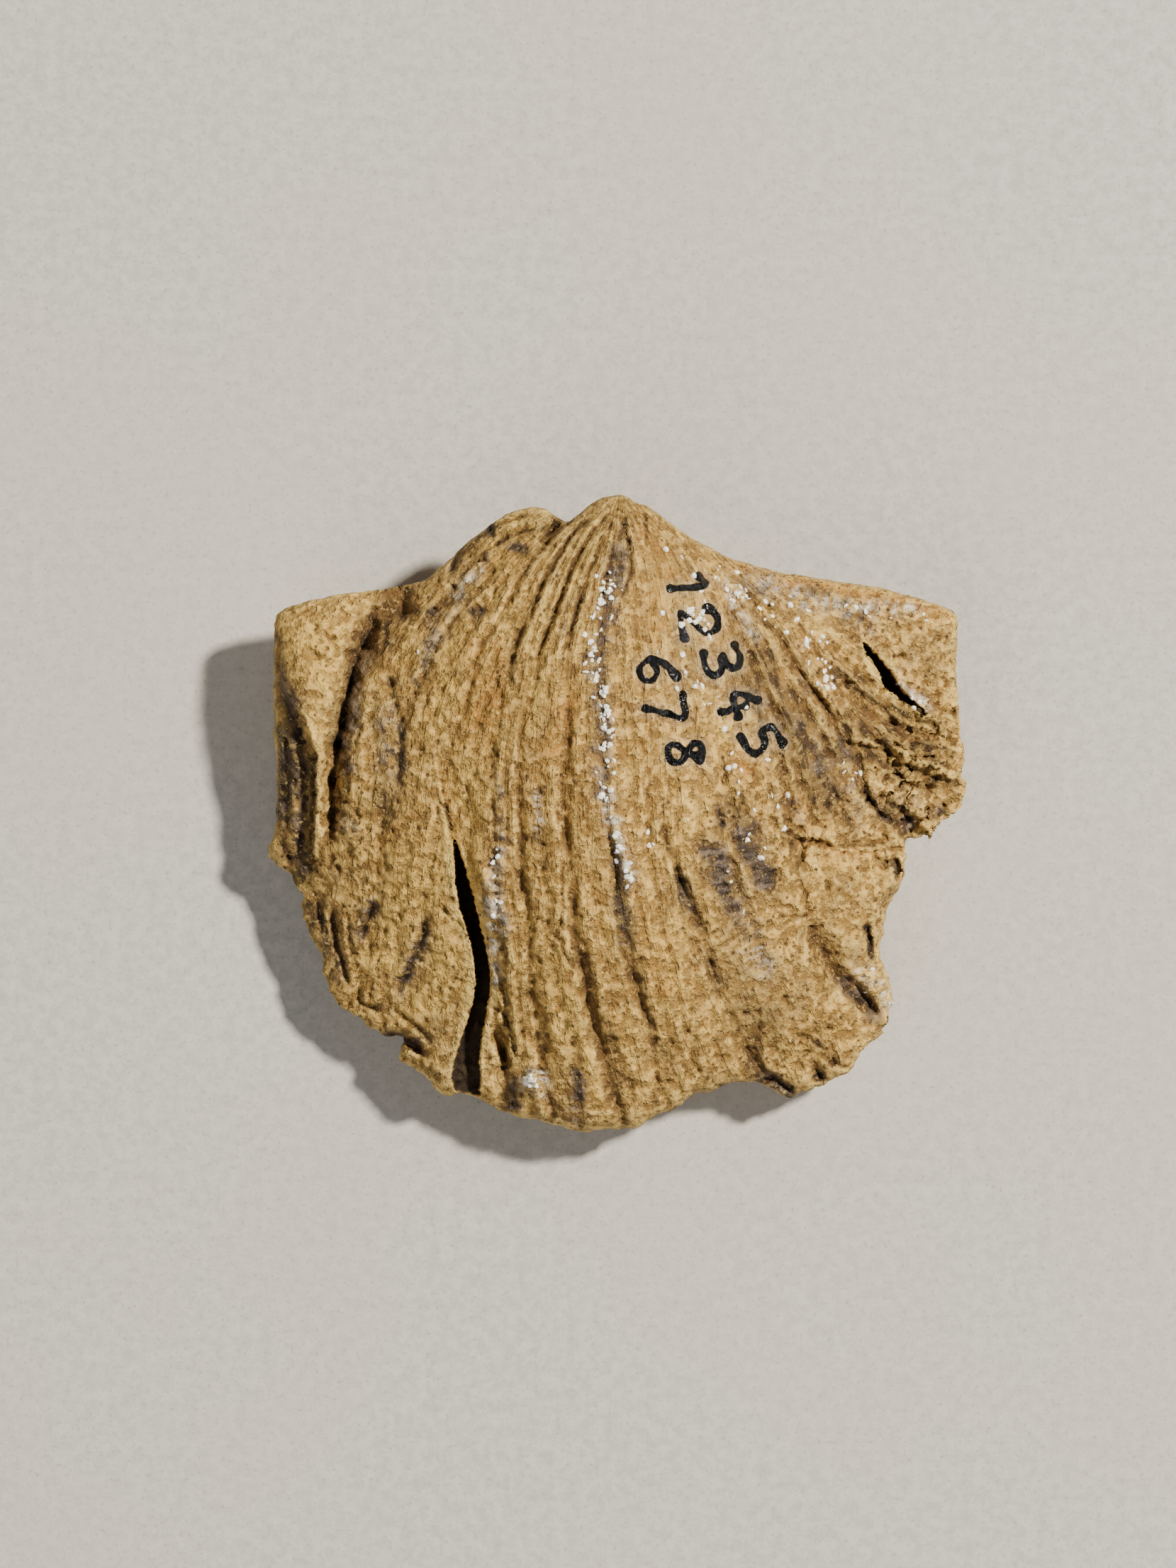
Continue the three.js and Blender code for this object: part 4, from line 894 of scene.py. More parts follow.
def ink_distance(x, y):
    """How far outside the ink a place lies, in mm: negative on the ink, which blots where a stroke ends."""
    wobble_x = x + HAND_WOBBLE * noise(x, y, 0.0, 0.9, seed=41)
    wobble_y = y + HAND_WOBBLE * noise(x, y, 0.0, 0.9, seed=42)
    nearest = np.full(x.shape, FAR_AWAY)
    for stroke in ink_strokes():
        distance, _, along = nearest_on_line(wobble_x, wobble_y, stroke)
        blot = BLOT * np.exp(-(np.minimum(along, 1.0 - along) / BLOT_LENGTH) ** 2)
        nearest = np.minimum(nearest, distance - blot)
    return nearest - PEN_HALF_WIDTH * (1.0 + PEN_UNEVENNESS * noise(x, y, 0.0, 0.7, seed=43))


print(len(ink_strokes()), "pen strokes")

# %% [markdown]
# The edge of the shell is bitten where it broke. The bites are noise, and they always go inward, so that the
# fine shell never grows past the plain one. Inside the edge, the mesh gets rows of points with six
# neighbours each, a little scattered, because neat rows would show as moire on the stone.

# %% The ragged edge and rows of points
ROW_RISE = math.sqrt(3.0) / 2.0
SCATTER = 0.12
BITE_DEPTH, SMALL_BITE_DEPTH, LEAST_BITE = 0.6, 0.5, 0.45
BITE_SIZE, SMALL_BITE_SIZE = 1.5, 0.55
POINTS_SEED = 23
scatter_source = np.random.default_rng(POINTS_SEED)


def inward_normals(loop):
    """Unit vectors that point into a clockwise loop at each of its points."""
    along = np.roll(loop, -1, axis=0) - np.roll(loop, 1, axis=0)
    along /= np.maximum(np.hypot(*along.T), NEARLY_NOTHING)[:, None]
    return np.stack([along[:, 1], -along[:, 0]], axis=1)


def ragged_outline():
    """The outline with bites along its broken stretches, always inward."""
    x, y = smooth_outline.T
    bite = BITE_DEPTH * noise(x, y, 0.0, BITE_SIZE, seed=51)
    bite = bite + SMALL_BITE_DEPTH * noise(x, y, 0.0, SMALL_BITE_SIZE, seed=52) + LEAST_BITE
    bite = ROUGH_EDGES(x, y) * bite
    return smooth_outline + inward_normals(smooth_outline) * np.maximum(bite, 0.0)[:, None]


def hexagonal_points(low, high, spacing):
    """Slightly scattered points over a rectangle, six neighbours to each."""
    rows = np.arange(low[1], high[1], spacing * ROW_RISE)
    columns = np.arange(low[0], high[0], spacing)
    x = columns[None, :] + 0.5 * spacing * (np.arange(len(rows)) % 2)[:, None]
    y = np.repeat(rows[:, None], len(columns), axis=1)
    points = np.stack([x.ravel(), y.ravel()], axis=1)
    return points + scatter_source.uniform(-SCATTER, SCATTER, points.shape) * spacing


edge_loop = ragged_outline()
reach = (edge_loop.min(axis=0), edge_loop.max(axis=0))
print("edge:", len(edge_loop), "points, reaching", *(np.round(end, 2) for end in reach))

# %% [markdown]
# A constrained triangulation joins the points and keeps the outline and the lips of the cracks as edges.
# That gives even triangles that follow a ragged outline, which a plain grid can't. Where a crack runs out
# over the edge, its lips are dropped a hair before it, or the skin would not close there.

# %% Triangles
LIP_GAP = 0.08
LOTS = 20
ONLY_INSIDE, MERGE_DISTANCE = 1, 1e-6


def distance_to_loop(points, loop):
    """Distance of many points to a closed loop, worked out in handy lots."""
    closed = np.vstack([loop, loop[:1]])
    lots = np.array_split(points, LOTS)
    return np.concatenate([nearest_on_line(lot[:, 0], lot[:, 1], closed)[0] for lot in lots])


def triangulate(edge, lips, points):
    """Triangles inside the edge loop that keep it, and the lips of cracks as far as they run inside it."""
    corners = [edge]
    seams = [(k, (k + 1) % len(edge)) for k in range(len(edge))]
    start = len(edge)
    for lip in lips:
        kept = is_inside(lip[:, 0], lip[:, 1], edge) & (distance_to_loop(lip, edge) > LIP_GAP)
        number = (start + np.cumsum(kept) - 1).tolist()
        seams += [(number[k - 1], number[k]) for k in range(len(lip)) if kept[k - 1] and kept[k]]
        corners.append(lip[kept])
        start += int(kept.sum())
    corners = np.vstack(corners + [points])
    result = delaunay_2d_cdt([tuple(c) for c in corners.tolist()], seams, [], ONLY_INSIDE, MERGE_DISTANCE)
    placed = np.array([tuple(corner) for corner in result[0]])
    return placed, np.array(result[2])


square = np.array([(0.0, 1.0), (1.0, 1.0), (1.0, 0.0), (0.0, 0.0)])
print("a square makes", len(triangulate(square, [], np.zeros((0, 2)))[1]), "triangles")

# %% [markdown]
# The points lie close together on the dome, closer still round the ink, and wider on the underside, which
# nobody looks at closely. The two skins share the points of the edge loop, so that a band can close the rim.

# %% Weave the two skins
TOP_SPACING, BOTTOM_SPACING, INK_SPACING = 0.185, 0.32, 0.09
EDGE_GAP = 0.6
CLEAR_OF_LIPS = 0.06
CLEARED_ROUND_INK, FILLED_ROUND_INK = 0.3, 0.25
INK_REGION = ((1.0, 2.0), (12.5, 17.5))
LOW, HIGH = OUTLINE.min(axis=0), OUTLINE.max(axis=0)


def points_within(spacing, gap):
    """Rows of points that lie inside the edge and not too near it."""
    points = hexagonal_points(LOW, HIGH, spacing)
    points = points[is_inside(points[:, 0], points[:, 1], edge_loop)]
    return points[distance_to_loop(points, edge_loop) > gap]


top_points = points_within(TOP_SPACING, EDGE_GAP * TOP_SPACING)
lips = [np.array(loop) for loop, _ in BREAKS]
for loop in lips:
    top_points = top_points[distance_to_loop(top_points, loop) > CLEAR_OF_LIPS]
near_ink = ink_distance(*top_points.T) < CLEARED_ROUND_INK
fine_points = hexagonal_points(*INK_REGION, INK_SPACING)
fine_points = fine_points[ink_distance(*fine_points.T) < FILLED_ROUND_INK]
top_points = np.vstack([top_points[~near_ink], fine_points])
top_xy, top_faces = triangulate(edge_loop, lips, top_points)
bottom_xy, bottom_faces = triangulate(edge_loop, [], points_within(BOTTOM_SPACING, EDGE_GAP * BOTTOM_SPACING))
print("top:", len(top_xy), "points,", len(top_faces), "faces; bottom:", len(bottom_xy), len(bottom_faces))

# %% [markdown]
# With every point in place, the skins get their heights. The rim between them is four bands high and drawn
# in a little at its middle, as the join of two valves is.

# %% Raise the skins and close the rim
top_edge_distance = distance_to_loop(top_xy, edge_loop)
top_z, top_groove, top_break = top_skin(top_xy[:, 0], top_xy[:, 1], top_edge_distance)
bottom_edge_distance = distance_to_loop(bottom_xy, edge_loop)
bottom_z, bottom_groove = bottom_skin(bottom_xy[:, 0], bottom_xy[:, 1], bottom_edge_distance)

RIM_ROWS = 3
RIM_DENT, RIM_DENT_SIZE, RIM_DENT_LAYERS = 0.25, 0.8, 3.0
edge_count = len(edge_loop)
inward = inward_normals(edge_loop)
rows_xyz = []
for row in range(1, RIM_ROWS + 1):
    share = row / (RIM_ROWS + 1)
    lumps = noise(edge_loop[:, 0], edge_loop[:, 1], RIM_DENT_LAYERS * share, RIM_DENT_SIZE, 61)
    dent = RIM_DENT * math.sin(math.pi * share) * (0.5 + 0.5 * lumps)
    place = edge_loop + inward * np.maximum(dent, 0.0)[:, None]
    level = (1.0 - share) * top_z[:edge_count] + share * bottom_z[:edge_count]
    rows_xyz.append(np.column_stack([place, level]))

vertices = np.vstack([np.column_stack([top_xy, top_z]), np.column_stack([bottom_xy, bottom_z])] + rows_xyz)
bottom_start = len(top_xy)
rim_start = bottom_start + len(bottom_xy)
levels = [0] + [rim_start + row * edge_count for row in range(RIM_ROWS)] + [bottom_start]


def facing_up(faces, points):
    """The same faces, each turned so that it runs anticlockwise seen from above."""
    a, b, c = (points[faces[:, k]] for k in range(3))
    turn = (b[:, 0] - a[:, 0]) * (c[:, 1] - a[:, 1]) - (b[:, 1] - a[:, 1]) * (c[:, 0] - a[:, 0])
    return np.where((turn > 0)[:, None], faces, faces[:, ::-1])


ring = np.arange(edge_count)
after = np.roll(ring, -1)
bands = [
    np.column_stack([upper + ring, upper + after, lower + after, lower + ring])
    for upper, lower in zip(levels[:-1], levels[1:])
]
faces = facing_up(top_faces, top_xy).tolist()
faces += (facing_up(bottom_faces, bottom_xy)[:, ::-1] + bottom_start).tolist()
faces += np.vstack(bands).tolist()

mesh = bpy.data.meshes.new("fossil_shell")
mesh.from_pydata((vertices * MM).tolist(), [], faces)
mesh.update()
shell = bpy.data.objects.new("fossil_shell", mesh)
bpy.context.scene.collection.objects.link(shell)
print("woven:", len(mesh.vertices), "vertices,", sum(len(p.vertices) - 2 for p in mesh.polygons), "triangles")

# %% [markdown]
# A solid piece must have no open edge, which the script counts here. Its volume with a sign tells whether
# the faces point outwards.

# %% Check that the skin is closed
check = bmesh.new()
check.from_mesh(mesh)
open_edges = sum(1 for edge in check.edges if len(edge.link_faces) != 2)
volume = check.calc_volume(signed=True)
if volume < 0:
    bmesh.ops.reverse_faces(check, faces=check.faces)
    check.to_mesh(mesh)
check.free()
print("open edges:", open_edges, " volume, cm3:", round(volume * 1e6, 2))

# %% [markdown]
# The whole skin is then pushed in and out along its own normals by fine noise, which roughens steep walls as
# well as flat ground. Where a second noise is very low it makes pits, as where grains fell out. The ink was
# written where the stone is smooth, so there the push is weaker, and the flat that touches the table stays
# flat.

# %% Roughen the skin
GRAIN_HEIGHT, GRAIN_SIZE, GRAIN_LEAST = 0.05, 0.8, 0.5
PIT_DEPTH, PIT_SIZE, PIT_LEAST, PIT_LEVEL = 0.45, 0.6, 0.35, 0.27
TOUCHING_BELOW = 0.02
NEAR_INK, SMOOTH_UNDER_INK = 0.1, 0.4
normals = np.zeros(len(vertices) * 3)
mesh.vertex_normals.foreach_get("vector", normals)
normals = normals.reshape(-1, 3)
x, y, z = vertices.T
flaky = FLAKINESS(x, y)
grain = layered_noise(x, y, z, GRAIN_SIZE, 3, seed=71)
pits = np.maximum(-PIT_LEVEL - noise(x, y, z, PIT_SIZE, seed=77), 0.0)
push = GRAIN_HEIGHT * (GRAIN_LEAST + flaky) * grain - PIT_DEPTH * (PIT_LEAST + flaky) * pits
touching = vertices[:, 2] < TOUCHING_BELOW
push[touching] = 0.0
ink_here = np.full(len(vertices), FAR_AWAY)
ink_here[:bottom_start] = ink_distance(top_xy[:, 0], top_xy[:, 1])
push = push * np.where(ink_here < NEAR_INK, SMOOTH_UNDER_INK, 1.0)
rough = vertices + normals * push[:, None]
rough[touching, 2] = 0.0
rough = np.clip(rough * MM, CAD_LOW, CAD_HIGH)
mesh.vertices.foreach_set("co", rough.ravel())
mesh.polygons.foreach_set("use_smooth", np.ones(len(mesh.polygons), dtype=bool))
mesh.update()
print("pushed by, mm:", np.round([push.min(), push.max()], 2))
print("share of points in pits:", round(float(np.mean(pits > 0)), 3))

# %% [markdown]
# Crests are painted lighter, as painted light, and hollows darker, as painted shade. How hollow a place is can
# be measured: the points are drawn towards their neighbours again and again, and where that lifts a point
# along its normal, it lay in a hollow. A few passes find the pits between grains, and many passes find the
# furrows.

# %% Hollows
FULL_HOLLOW_PERCENTILE, MOST_HOLLOW = 92, 1.5
PIT_PASSES, FURROW_PASSES = 3, 24
PIT_SHARE, FURROW_SHARE = 0.55, 0.65
links = np.zeros(len(mesh.edges) * 2, dtype=np.int32)
mesh.edges.foreach_get("vertices", links)
links = links.reshape(-1, 2)
neighbours = np.bincount(links.ravel(), minlength=len(rough))


def drawn_together(points, passes):
    """Points moved half way to the middle of their neighbours, pass after pass."""
    start, end = links.T
    for _ in range(passes):
        middle = np.stack([
            np.bincount(start, points[end, axis], len(points))
            + np.bincount(end, points[start, axis], len(points))
            for axis in range(3)
        ], axis=1) / neighbours[:, None]
        points = 0.5 * (points + middle)
    return points


def hollowness(passes):
    """How deep each point lies under its surroundings, about -1 to 1."""
    lift = np.sum((drawn_together(rough, passes) - rough) * normals, axis=1)
    return np.clip(lift / np.percentile(np.abs(lift), FULL_HOLLOW_PERCENTILE), -MOST_HOLLOW, MOST_HOLLOW)


mesh.vertex_normals.foreach_get("vector", normals.reshape(-1))
hollow = PIT_SHARE * hollowness(PIT_PASSES) + FURROW_SHARE * hollowness(FURROW_PASSES)
print("hollow points:", round(float(np.mean(hollow > 0.5)), 3))

# %% [markdown]
# The colours of the stone follow what happened to it, and some of them paint light and shade. Each finish is a
# value on the mesh's points, laid along lines drawn with a strength and a width, and broken up by noise, so
# that nothing has hard edges. An image would be quicker, but lines stay sharp at any distance and say what
# they are. First the rubbed ribs, which show a lilac-grey layer under the tan.

# %% Where the ribs are worn
WORN = [
    (1.0, 0.7, [[0.1, 19.6], [-0.1, 16.6], [-0.9, 13.4], [-1.6, 10.1], [-0.9, 6.4], [-1.1, 4.1],
                 [-0.8, 1.0]]),
    (0.7, 0.45, [[-0.7, 1.0], [-0.4, -1.0], [0.4, -3.2], [1.0, -4.8]]),
    (0.7, 0.7, [[0.2, -2.9], [0.4, -6.0], [0.5, -9.8]]),
    (0.8, 0.9, [[8.8, -0.8], [10.1, -3.4], [10.6, -4.8]]),
    (0.8, 0.9, [[6.6, -2.4], [7.7, -5.2], [8.9, -7.4]]),
    (0.8, 0.45, [[-8.4, 2.6], [-8.1, -2.8], [-8.7, -5.2], [-8.2, -6.8], [-8.0, -9.1]]),
    (0.8, 0.8, [[-16.3, 8.0], [-15.9, 2.5]]),
    (0.9, 0.6, [[-19.3, 5.2], [-19.0, 2.6]]),
    (0.8, 0.7, [[-10.4, 16.8], [-11.6, 15.0], [-12.7, 12.8], [-13.2, 11.0]]),
    (0.9, 0.4, [[-7.7, 18.8], [-6.5, 18.7]]),
    (0.6, 0.35, [[-13.0, 12.0], [-14.4, 9.0]]),
    (0.8, 0.45, [[19.6, 9.6], [20.6, 8.6], [21.8, 7.8]]),
    (0.8, 0.8, [[19.8, 1.6], [22.2, 0.9]]),
    (0.7, 0.9, [[8.6, 16.8], [12.6, 15.4], [16.4, 14.6], [18.6, 13.4]]),
    (0.7, 0.7, [[13.4, 5.4], [14.9, 2.6]]),
    (0.7, 0.7, [[15.6, 4.6], [16.8, 1.2], [17.4, -0.8]]),
    (0.6, 0.45, [[12.8, 9.8], [13.6, 8.6]]),
    (0.6, 0.6, [[11.6, 1.6], [12.8, -0.6]]),
    (0.8, 0.35, [[-2.9, -18.2], [-2.7, -19.9]]),
    (0.8, 0.4, [[-7.4, -18.6], [-7.2, -20.8]]),
    (0.6, 0.8, [[-3.5, -20.4], [-2.2, -21.8]]),
    (0.8, 0.3, [[-9.3, -5.0], [-8.9, -9.0], [-8.6, -12.5]]),
    (0.7, 0.6, [[15.6, -11.2], [18.8, -14.6]]),
    (0.6, 0.55, [[9.4, -8.2], [10.1, -9.4], [10.8, -10.9]]),
    (1.0, 0.6, [[-17.2, -5.8], [-18.2, -8.8]]),
    (1.0, 0.55, [[-13.5, -7.4], [-13.8, -8.9], [-14.7, -10.8], [-15.6, -12.6]]),
    (0.4, 0.35, [[-2.6, 16.0], [-4.2, 12.4]]),
    (0.4, 0.3, [[-3.4, 19.0], [-5.0, 15.8]]),
]
print("strokes:", len(WORN))

# %% [markdown]
# Dark grey-brown patches follow worn ribs, edges and the bottoms of scars, where a thin mineral film is
# left. Some of the same strokes are painted shade: the black pockets in the torn ear, the dark left wall, the
# shadow under the raised front lip and the dark pits and crack along the front and right edges. They are
# painted with the same kind of strokes, and noise eats less out of them, since a film is even.

# %% Where the stone is dark with films and painted shade
FILMS_AND_SHADE = [
    (0.6, 0.5, [[0.0, 18.0], [-0.4, 15.4], [-1.6, 10.6], [-1.2, 6.4], [-1.1, 3.0], [-0.6, 0.6]]),
    (0.9, 0.22, [[-7.0, -18.3], [-6.1, -17.8], [-5.1, -18.3]]),
    (1.0, 0.22, [[-9.4, 21.0], [-8.75, 19.6]]),
    (1.0, 0.22, [[-10.9, 19.1], [-11.8, 17.2]]),
    (0.9, 0.25, [[-9.5, 18.1], [-9.1, 17.9]]),
    (0.9, 0.25, [[-12.7, 14.9], [-13.5, 13.3]]),
    (1.7, 0.66, [[8.7, -0.6], [9.2, -2.3], [10.0, -3.5], [10.5, -5.0]]),
    (1.7, 0.66, [[6.4, -1.6], [7.5, -5.2], [8.8, -7.6]]),
    (0.9, 0.35, [[7.1, 1.0], [7.4, -1.1]]),
    (0.9, 0.35, [[4.4, -4.0], [4.6, -5.2], [5.2, -6.8]]),
    (0.7, 0.5, [[-0.5, -1.4], [0.2, -4.2], [0.5, -8.0]]),
    (0.9, 0.35, [[-17.2, -5.6], [-17.6, -7.2], [-18.3, -8.9]]),
    (0.9, 0.32, [[-13.5, -7.2], [-13.8, -8.9], [-14.7, -10.8], [-15.5, -12.6]]),
    (0.8, 0.32, [[-15.3, 6.6], [-15.0, 4.0], [-15.1, 2.0]]),
    (0.6, 0.32, [[-19.2, 5.0], [-19.0, 2.8]]),
    (1.8, 0.36, [[-7.6, 18.9], [-6.3, 18.6]]),
    (2.0, 0.42, [[-10.2, 14.5], [-9.7, 14.2]]),
    (0.8, 0.35, [[12.4, 6.6], [13.0, 5.8]]),
    (0.8, 0.35, [[13.9, 4.6], [14.6, 3.2]]),
    (0.7, 0.35, [[15.7, 5.6], [16.6, 3.8]]),
    (0.7, 0.4, [[17.4, 1.8], [18.8, 0.0], [20.0, -0.9]]),
    # These two are painted shade in the deep pockets of the torn ear.
    (1.3, 0.45, [[20.3, -0.1], [20.7, -1.3]]),
    (1.3, 0.35, [[22.7, 0.8], [22.9, -0.2]]),
    # These two paint shade down the left wall.
    (0.9, 0.6, [[-23.5, 10.4], [-22.8, 7.0], [-22.5, 3.0], [-22.6, -1.6], [-22.2, -4.0]]),
    (1.0, 0.4, [[-23.8, 6.0], [-23.6, 1.0], [-23.9, -1.0]]),
    (0.6, 0.5, [[-21.2, -6.4], [-20.6, -9.0], [-19.8, -11.6]]),
    (0.7, 0.35, [[-2.9, -17.8], [-2.7, -20.4]]),
    (0.7, 0.4, [[-7.6, -18.6], [-7.2, -20.8]]),
    (0.8, 0.4, [[15.8, -11.6], [17.2, -13.0], [18.6, -14.6]]),
    # These four are painted shade: the shadow under the raised front lip, and dark pits and a crack along the
    # front and right edges.
    (1.2, 0.42, [[9.8, -17.9], [10.8, -18.9], [12.2, -19.9]]),
    (1.2, 0.3, [[14.1, -18.0], [14.5, -18.7]]),
    (1.2, 0.35, [[19.6, -3.0], [19.8, -4.2]]),
    (1.0, 0.22, [[17.6, -7.7], [18.0, -9.3], [17.9, -10.1]]),
    (0.7, 0.3, [[-5.5, -1.0], [-5.6, -2.0]]),
    (1.2, 0.35, [[-16.6, -15.7], [-15.3, -15.8], [-14.2, -16.3], [-13.8, -17.0]]),
    (0.5, 0.45, [[0.5, 20.6], [0.2, 18.0], [-0.2, 16.2]]),
]
print("strokes:", len(FILMS_AND_SHADE))

# %% [markdown]
# Clean patches, where the surface is fresh, are a brighter ochre, and the same strokes paint light on plates
# that face the light: the plate under the torn ledge on the right, a strip below the middle and the top of the
# wing. A few spots are almost white, such as the knob of calcite at the front edge.

# %% Fresh patches, painted light, and chalky spots
FRESH_AND_LIT = [
    # These three paint light on plates that face the light: the plate under the torn ledge, a strip below the
    # middle and the top of the wing.
    (0.8, 1.2, [[14.5, -3.4], [18.2, -3.9]]),
    (0.7, 1.2, [[3.0, -7.0], [4.0, -12.6]]),
    (0.9, 1.7, [[-22.2, 13.0], [-20.6, 11.2], [-20.9, 8.8]]),
    (0.7, 1.0, [[-12.4, 12.2], [-12.0, 8.8], [-13.0, 5.4]]),
    (0.7, 0.7, [[-9.2, 18.8], [-7.4, 17.4]]),
    (0.8, 0.6, [[-11.2, 19.2], [-9.0, 20.4], [-6.0, 21.2]]),
    (0.7, 0.6, [[-21.2, 6.4], [-20.8, 2.0], [-21.0, -1.6]]),
    (0.6, 1.2, [[-10.6, 5.0], [-10.2, 0.0]]),
    (1.0, 1.6, [[-13.2, -3.0], [-15.6, -6.4], [-16.6, -10.6]]),
    (0.9, 1.1, [[-12.2, -9.0], [-13.4, -14.0]]),
    (0.9, 0.8, [[-3.0, -12.6], [-2.2, -17.0], [-1.2, -20.0]]),
    (0.6, 0.7, [[-4.6, -10.0], [-4.2, -16.0]]),
    (0.6, 0.7, [[7.0, -14.0], [8.0, -17.6]]),
    (0.6, 0.7, [[15.4, -15.6], [17.4, -15.4]]),
    (0.4, 0.9, [[14.0, -5.8], [16.8, -8.4]]),
    (0.6, 0.8, [[3.4, 13.6], [2.4, 17.0]]),
    (0.6, 0.6, [[17.8, 8.0], [21.6, 6.4]]),
    (0.6, 0.6, [[6.4, 8.6], [7.2, 4.4]]),
    (0.6, 0.8, [[-5.8, 10.8], [-6.0, 5.4]]),
]
PALE = [
    (3.2, 0.6, [[-6.0, -18.8], [-5.9, -18.8]]),
    (0.9, 0.32, [[-5.6, 1.4], [-5.6, -0.8]]),
    (0.5, 0.32, [[-8.3, -1.6], [-8.6, -5.2], [-8.2, -8.0]]),
    (0.7, 0.3, [[-9.4, 17.4], [-10.6, 16.6], [-11.8, 15.4]]),
    (0.9, 0.4, [[-0.9, 1.4], [0.0, -1.4], [0.8, -3.6], [1.1, -4.6]]),
    (0.5, 0.5, [[9.4, 16.6], [11.6, 16.0], [14.0, 15.0], [17.0, 14.6], [21.5, 14.6]]),
    (0.9, 0.35, [[19.5, 9.9], [20.4, 8.9], [22.0, 7.7]]),
    (0.55, 0.55, [[16.8, -10.9], [18.4, -12.0], [19.4, -13.4]]),
    (0.4, 0.35, [[-19.4, 0.0], [-18.6, -1.2]]),
    (0.5, 0.5, [[7.4, 17.0], [8.6, 14.4], [9.6, 12.6]]),
    (0.25, 0.8, [[9.4, -9.0], [10.6, -11.0]]),
    (0.5, 0.3, [[-9.2, -4.6], [-8.8, -8.0], [-8.5, -12.0]]),
    (0.5, 0.5, [[-17.9, 10.6], [-18.6, 7.6], [-19.0, 5.0]]),
]
print("strokes:", len(FRESH_AND_LIT + PALE))

# %% [markdown]
# Brown stains and painted shade lie in the folds, most of all beside the wing, behind the ear and in the
# furrows there.
# The dark band on the slope beside the wing, the dark left wall and the brown along the broad folds of the
# lower right are painted shade.
# Hollowness alone would darken all hollows alike, so strokes say which of them are darker.

# %% Stains, and painted shade beside the wing and in folds
STAINS_AND_SHADE = [
    # The first three are painted shade along the broad folds of the lower right.
    (0.5, 0.7, [[4.8, -5.0], [5.8, -8.4], [7.6, -12.4]]),
    (0.5, 0.6, [[0.8, -9.8], [2.5, -14.8], [3.8, -18.6]]),
    (0.5, 0.7, [[8.0, -14.0], [9.8, -16.6], [11.4, -19.0]]),
    # Painted shade on the slope beside the wing, which turns away from the light.
    (2.6, 1.1, [[-14.6, 15.9], [-15.8, 14.6], [-17.0, 12.8], [-18.0, 10.6]]),
    (1.2, 0.5, [[9.0, 13.2], [11.2, 9.6], [13.4, 6.6]]),
    (1.2, 0.5, [[8.2, 10.4], [10.2, 7.0], [11.6, 3.6]]),
    (1.2, 0.5, [[11.6, 7.2], [13.2, 3.6], [14.4, 0.2]]),
    (1.1, 0.45, [[15.2, 10.4], [17.8, 8.0], [20.6, 6.6]]),
    (1.1, 0.45, [[16.4, 7.4], [19.6, 5.6], [23.4, 4.6]]),
    (0.6, 2.6, [[9.4, 12.0], [13.0, 6.0], [14.8, 1.0]]),
    (0.6, 1.6, [[16.0, 6.6], [22.0, 4.0]]),
    (0.5, 0.6, [[8.2, 2.0], [9.8, -2.0], [11.6, -6.4]]),
    (0.5, 0.5, [[11.0, 1.8], [12.2, -1.4], [13.2, -5.0]]),
    # This stroke and the next four paint shade on the wing's fold and down the left wall.
    (0.8, 0.7, [[-18.2, 10.4], [-19.0, 7.8], [-19.9, 4.0]]),
    (1.4, 0.9, [[-23.6, 8.6], [-22.9, 5.0], [-22.9, 1.0], [-23.2, -3.0]]),
    (0.7, 0.45, [[-21.4, 4.0], [-21.8, 0.0], [-22.2, -4.6]]),
    (0.6, 0.4, [[-24.0, 13.2], [-24.0, 9.0]]),
    (0.7, 0.9, [[-22.0, -6.0], [-20.6, -9.0], [-19.6, -12.4]]),
    (0.5, 1.0, [[-16.6, 1.6], [-15.6, -1.6]]),
    (0.6, 0.8, [[-1.4, -14.0], [-0.2, -17.6], [0.9, -21.6]]),
    (0.5, 0.45, [[-3.3, -2.0], [-3.0, -8.0], [-2.3, -12.0]]),
    (0.6, 0.6, [[0.2, -3.0], [0.4, -6.4], [0.6, -9.8]]),
    (0.5, 0.6, [[4.4, -4.0], [5.0, -6.6]]),
    (0.5, 0.7, [[7.2, 1.4], [7.6, -1.6]]),
    (0.6, 0.55, [[10.4, 7.6], [12.6, 5.6], [13.8, 3.0]]),
    (0.5, 0.6, [[13.8, 3.4], [15.2, 0.6], [16.4, -1.0]]),
    (0.5, 0.6, [[15.6, 6.2], [17.4, 4.6], [19.4, 3.0]]),
    (0.7, 0.7, [[19.4, 3.6], [22.4, 2.4], [24.4, 1.8]]),
    (0.6, 0.8, [[18.6, 1.0], [20.4, -0.8], [22.6, 0.0]]),
    (0.6, 0.5, [[19.2, -3.0], [19.4, -5.4], [18.6, -6.4]]),
    (0.5, 0.7, [[13.4, -8.0], [15.0, -10.2], [16.6, -12.4], [18.6, -14.6]]),
    (0.6, 0.6, [[13.6, -15.4], [15.4, -18.0]]),
    (0.5, 0.4, [[9.4, -17.0], [10.8, -18.8], [12.4, -19.9]]),
    (0.5, 0.9, [[9.0, -12.6], [11.4, -14.6]]),
    (0.6, 0.45, [[-2.8, -17.6], [-2.7, -20.6]]),
    (0.6, 0.6, [[-7.8, -18.4], [-7.2, -21.0]]),
    (0.5, 0.6, [[-4.6, 20.6], [-5.4, 18.6]]),
    (0.6, 0.5, [[-7.8, 18.9], [-6.4, 18.6]]),
    (0.5, 0.5, [[-8.4, 20.9], [-10.4, 19.2], [-12.6, 17.0]]),
    (0.6, 0.35, [[-10.6, 14.3], [-9.4, 14.3]]),
    (0.5, 0.5, [[-7.0, 12.4], [-7.8, 9.2]]),
    (0.5, 0.35, [[-5.4, -1.2], [-5.6, -2.0]]),
]
print("strokes:", len(STAINS_AND_SHADE))

# %% [markdown]
# Iron has turned some ground rusty, as along the hinge line, and wide weak zones are a duller grey-green.
# The weak zones have the broadest strokes, and both only tint the ground under the finer colours.

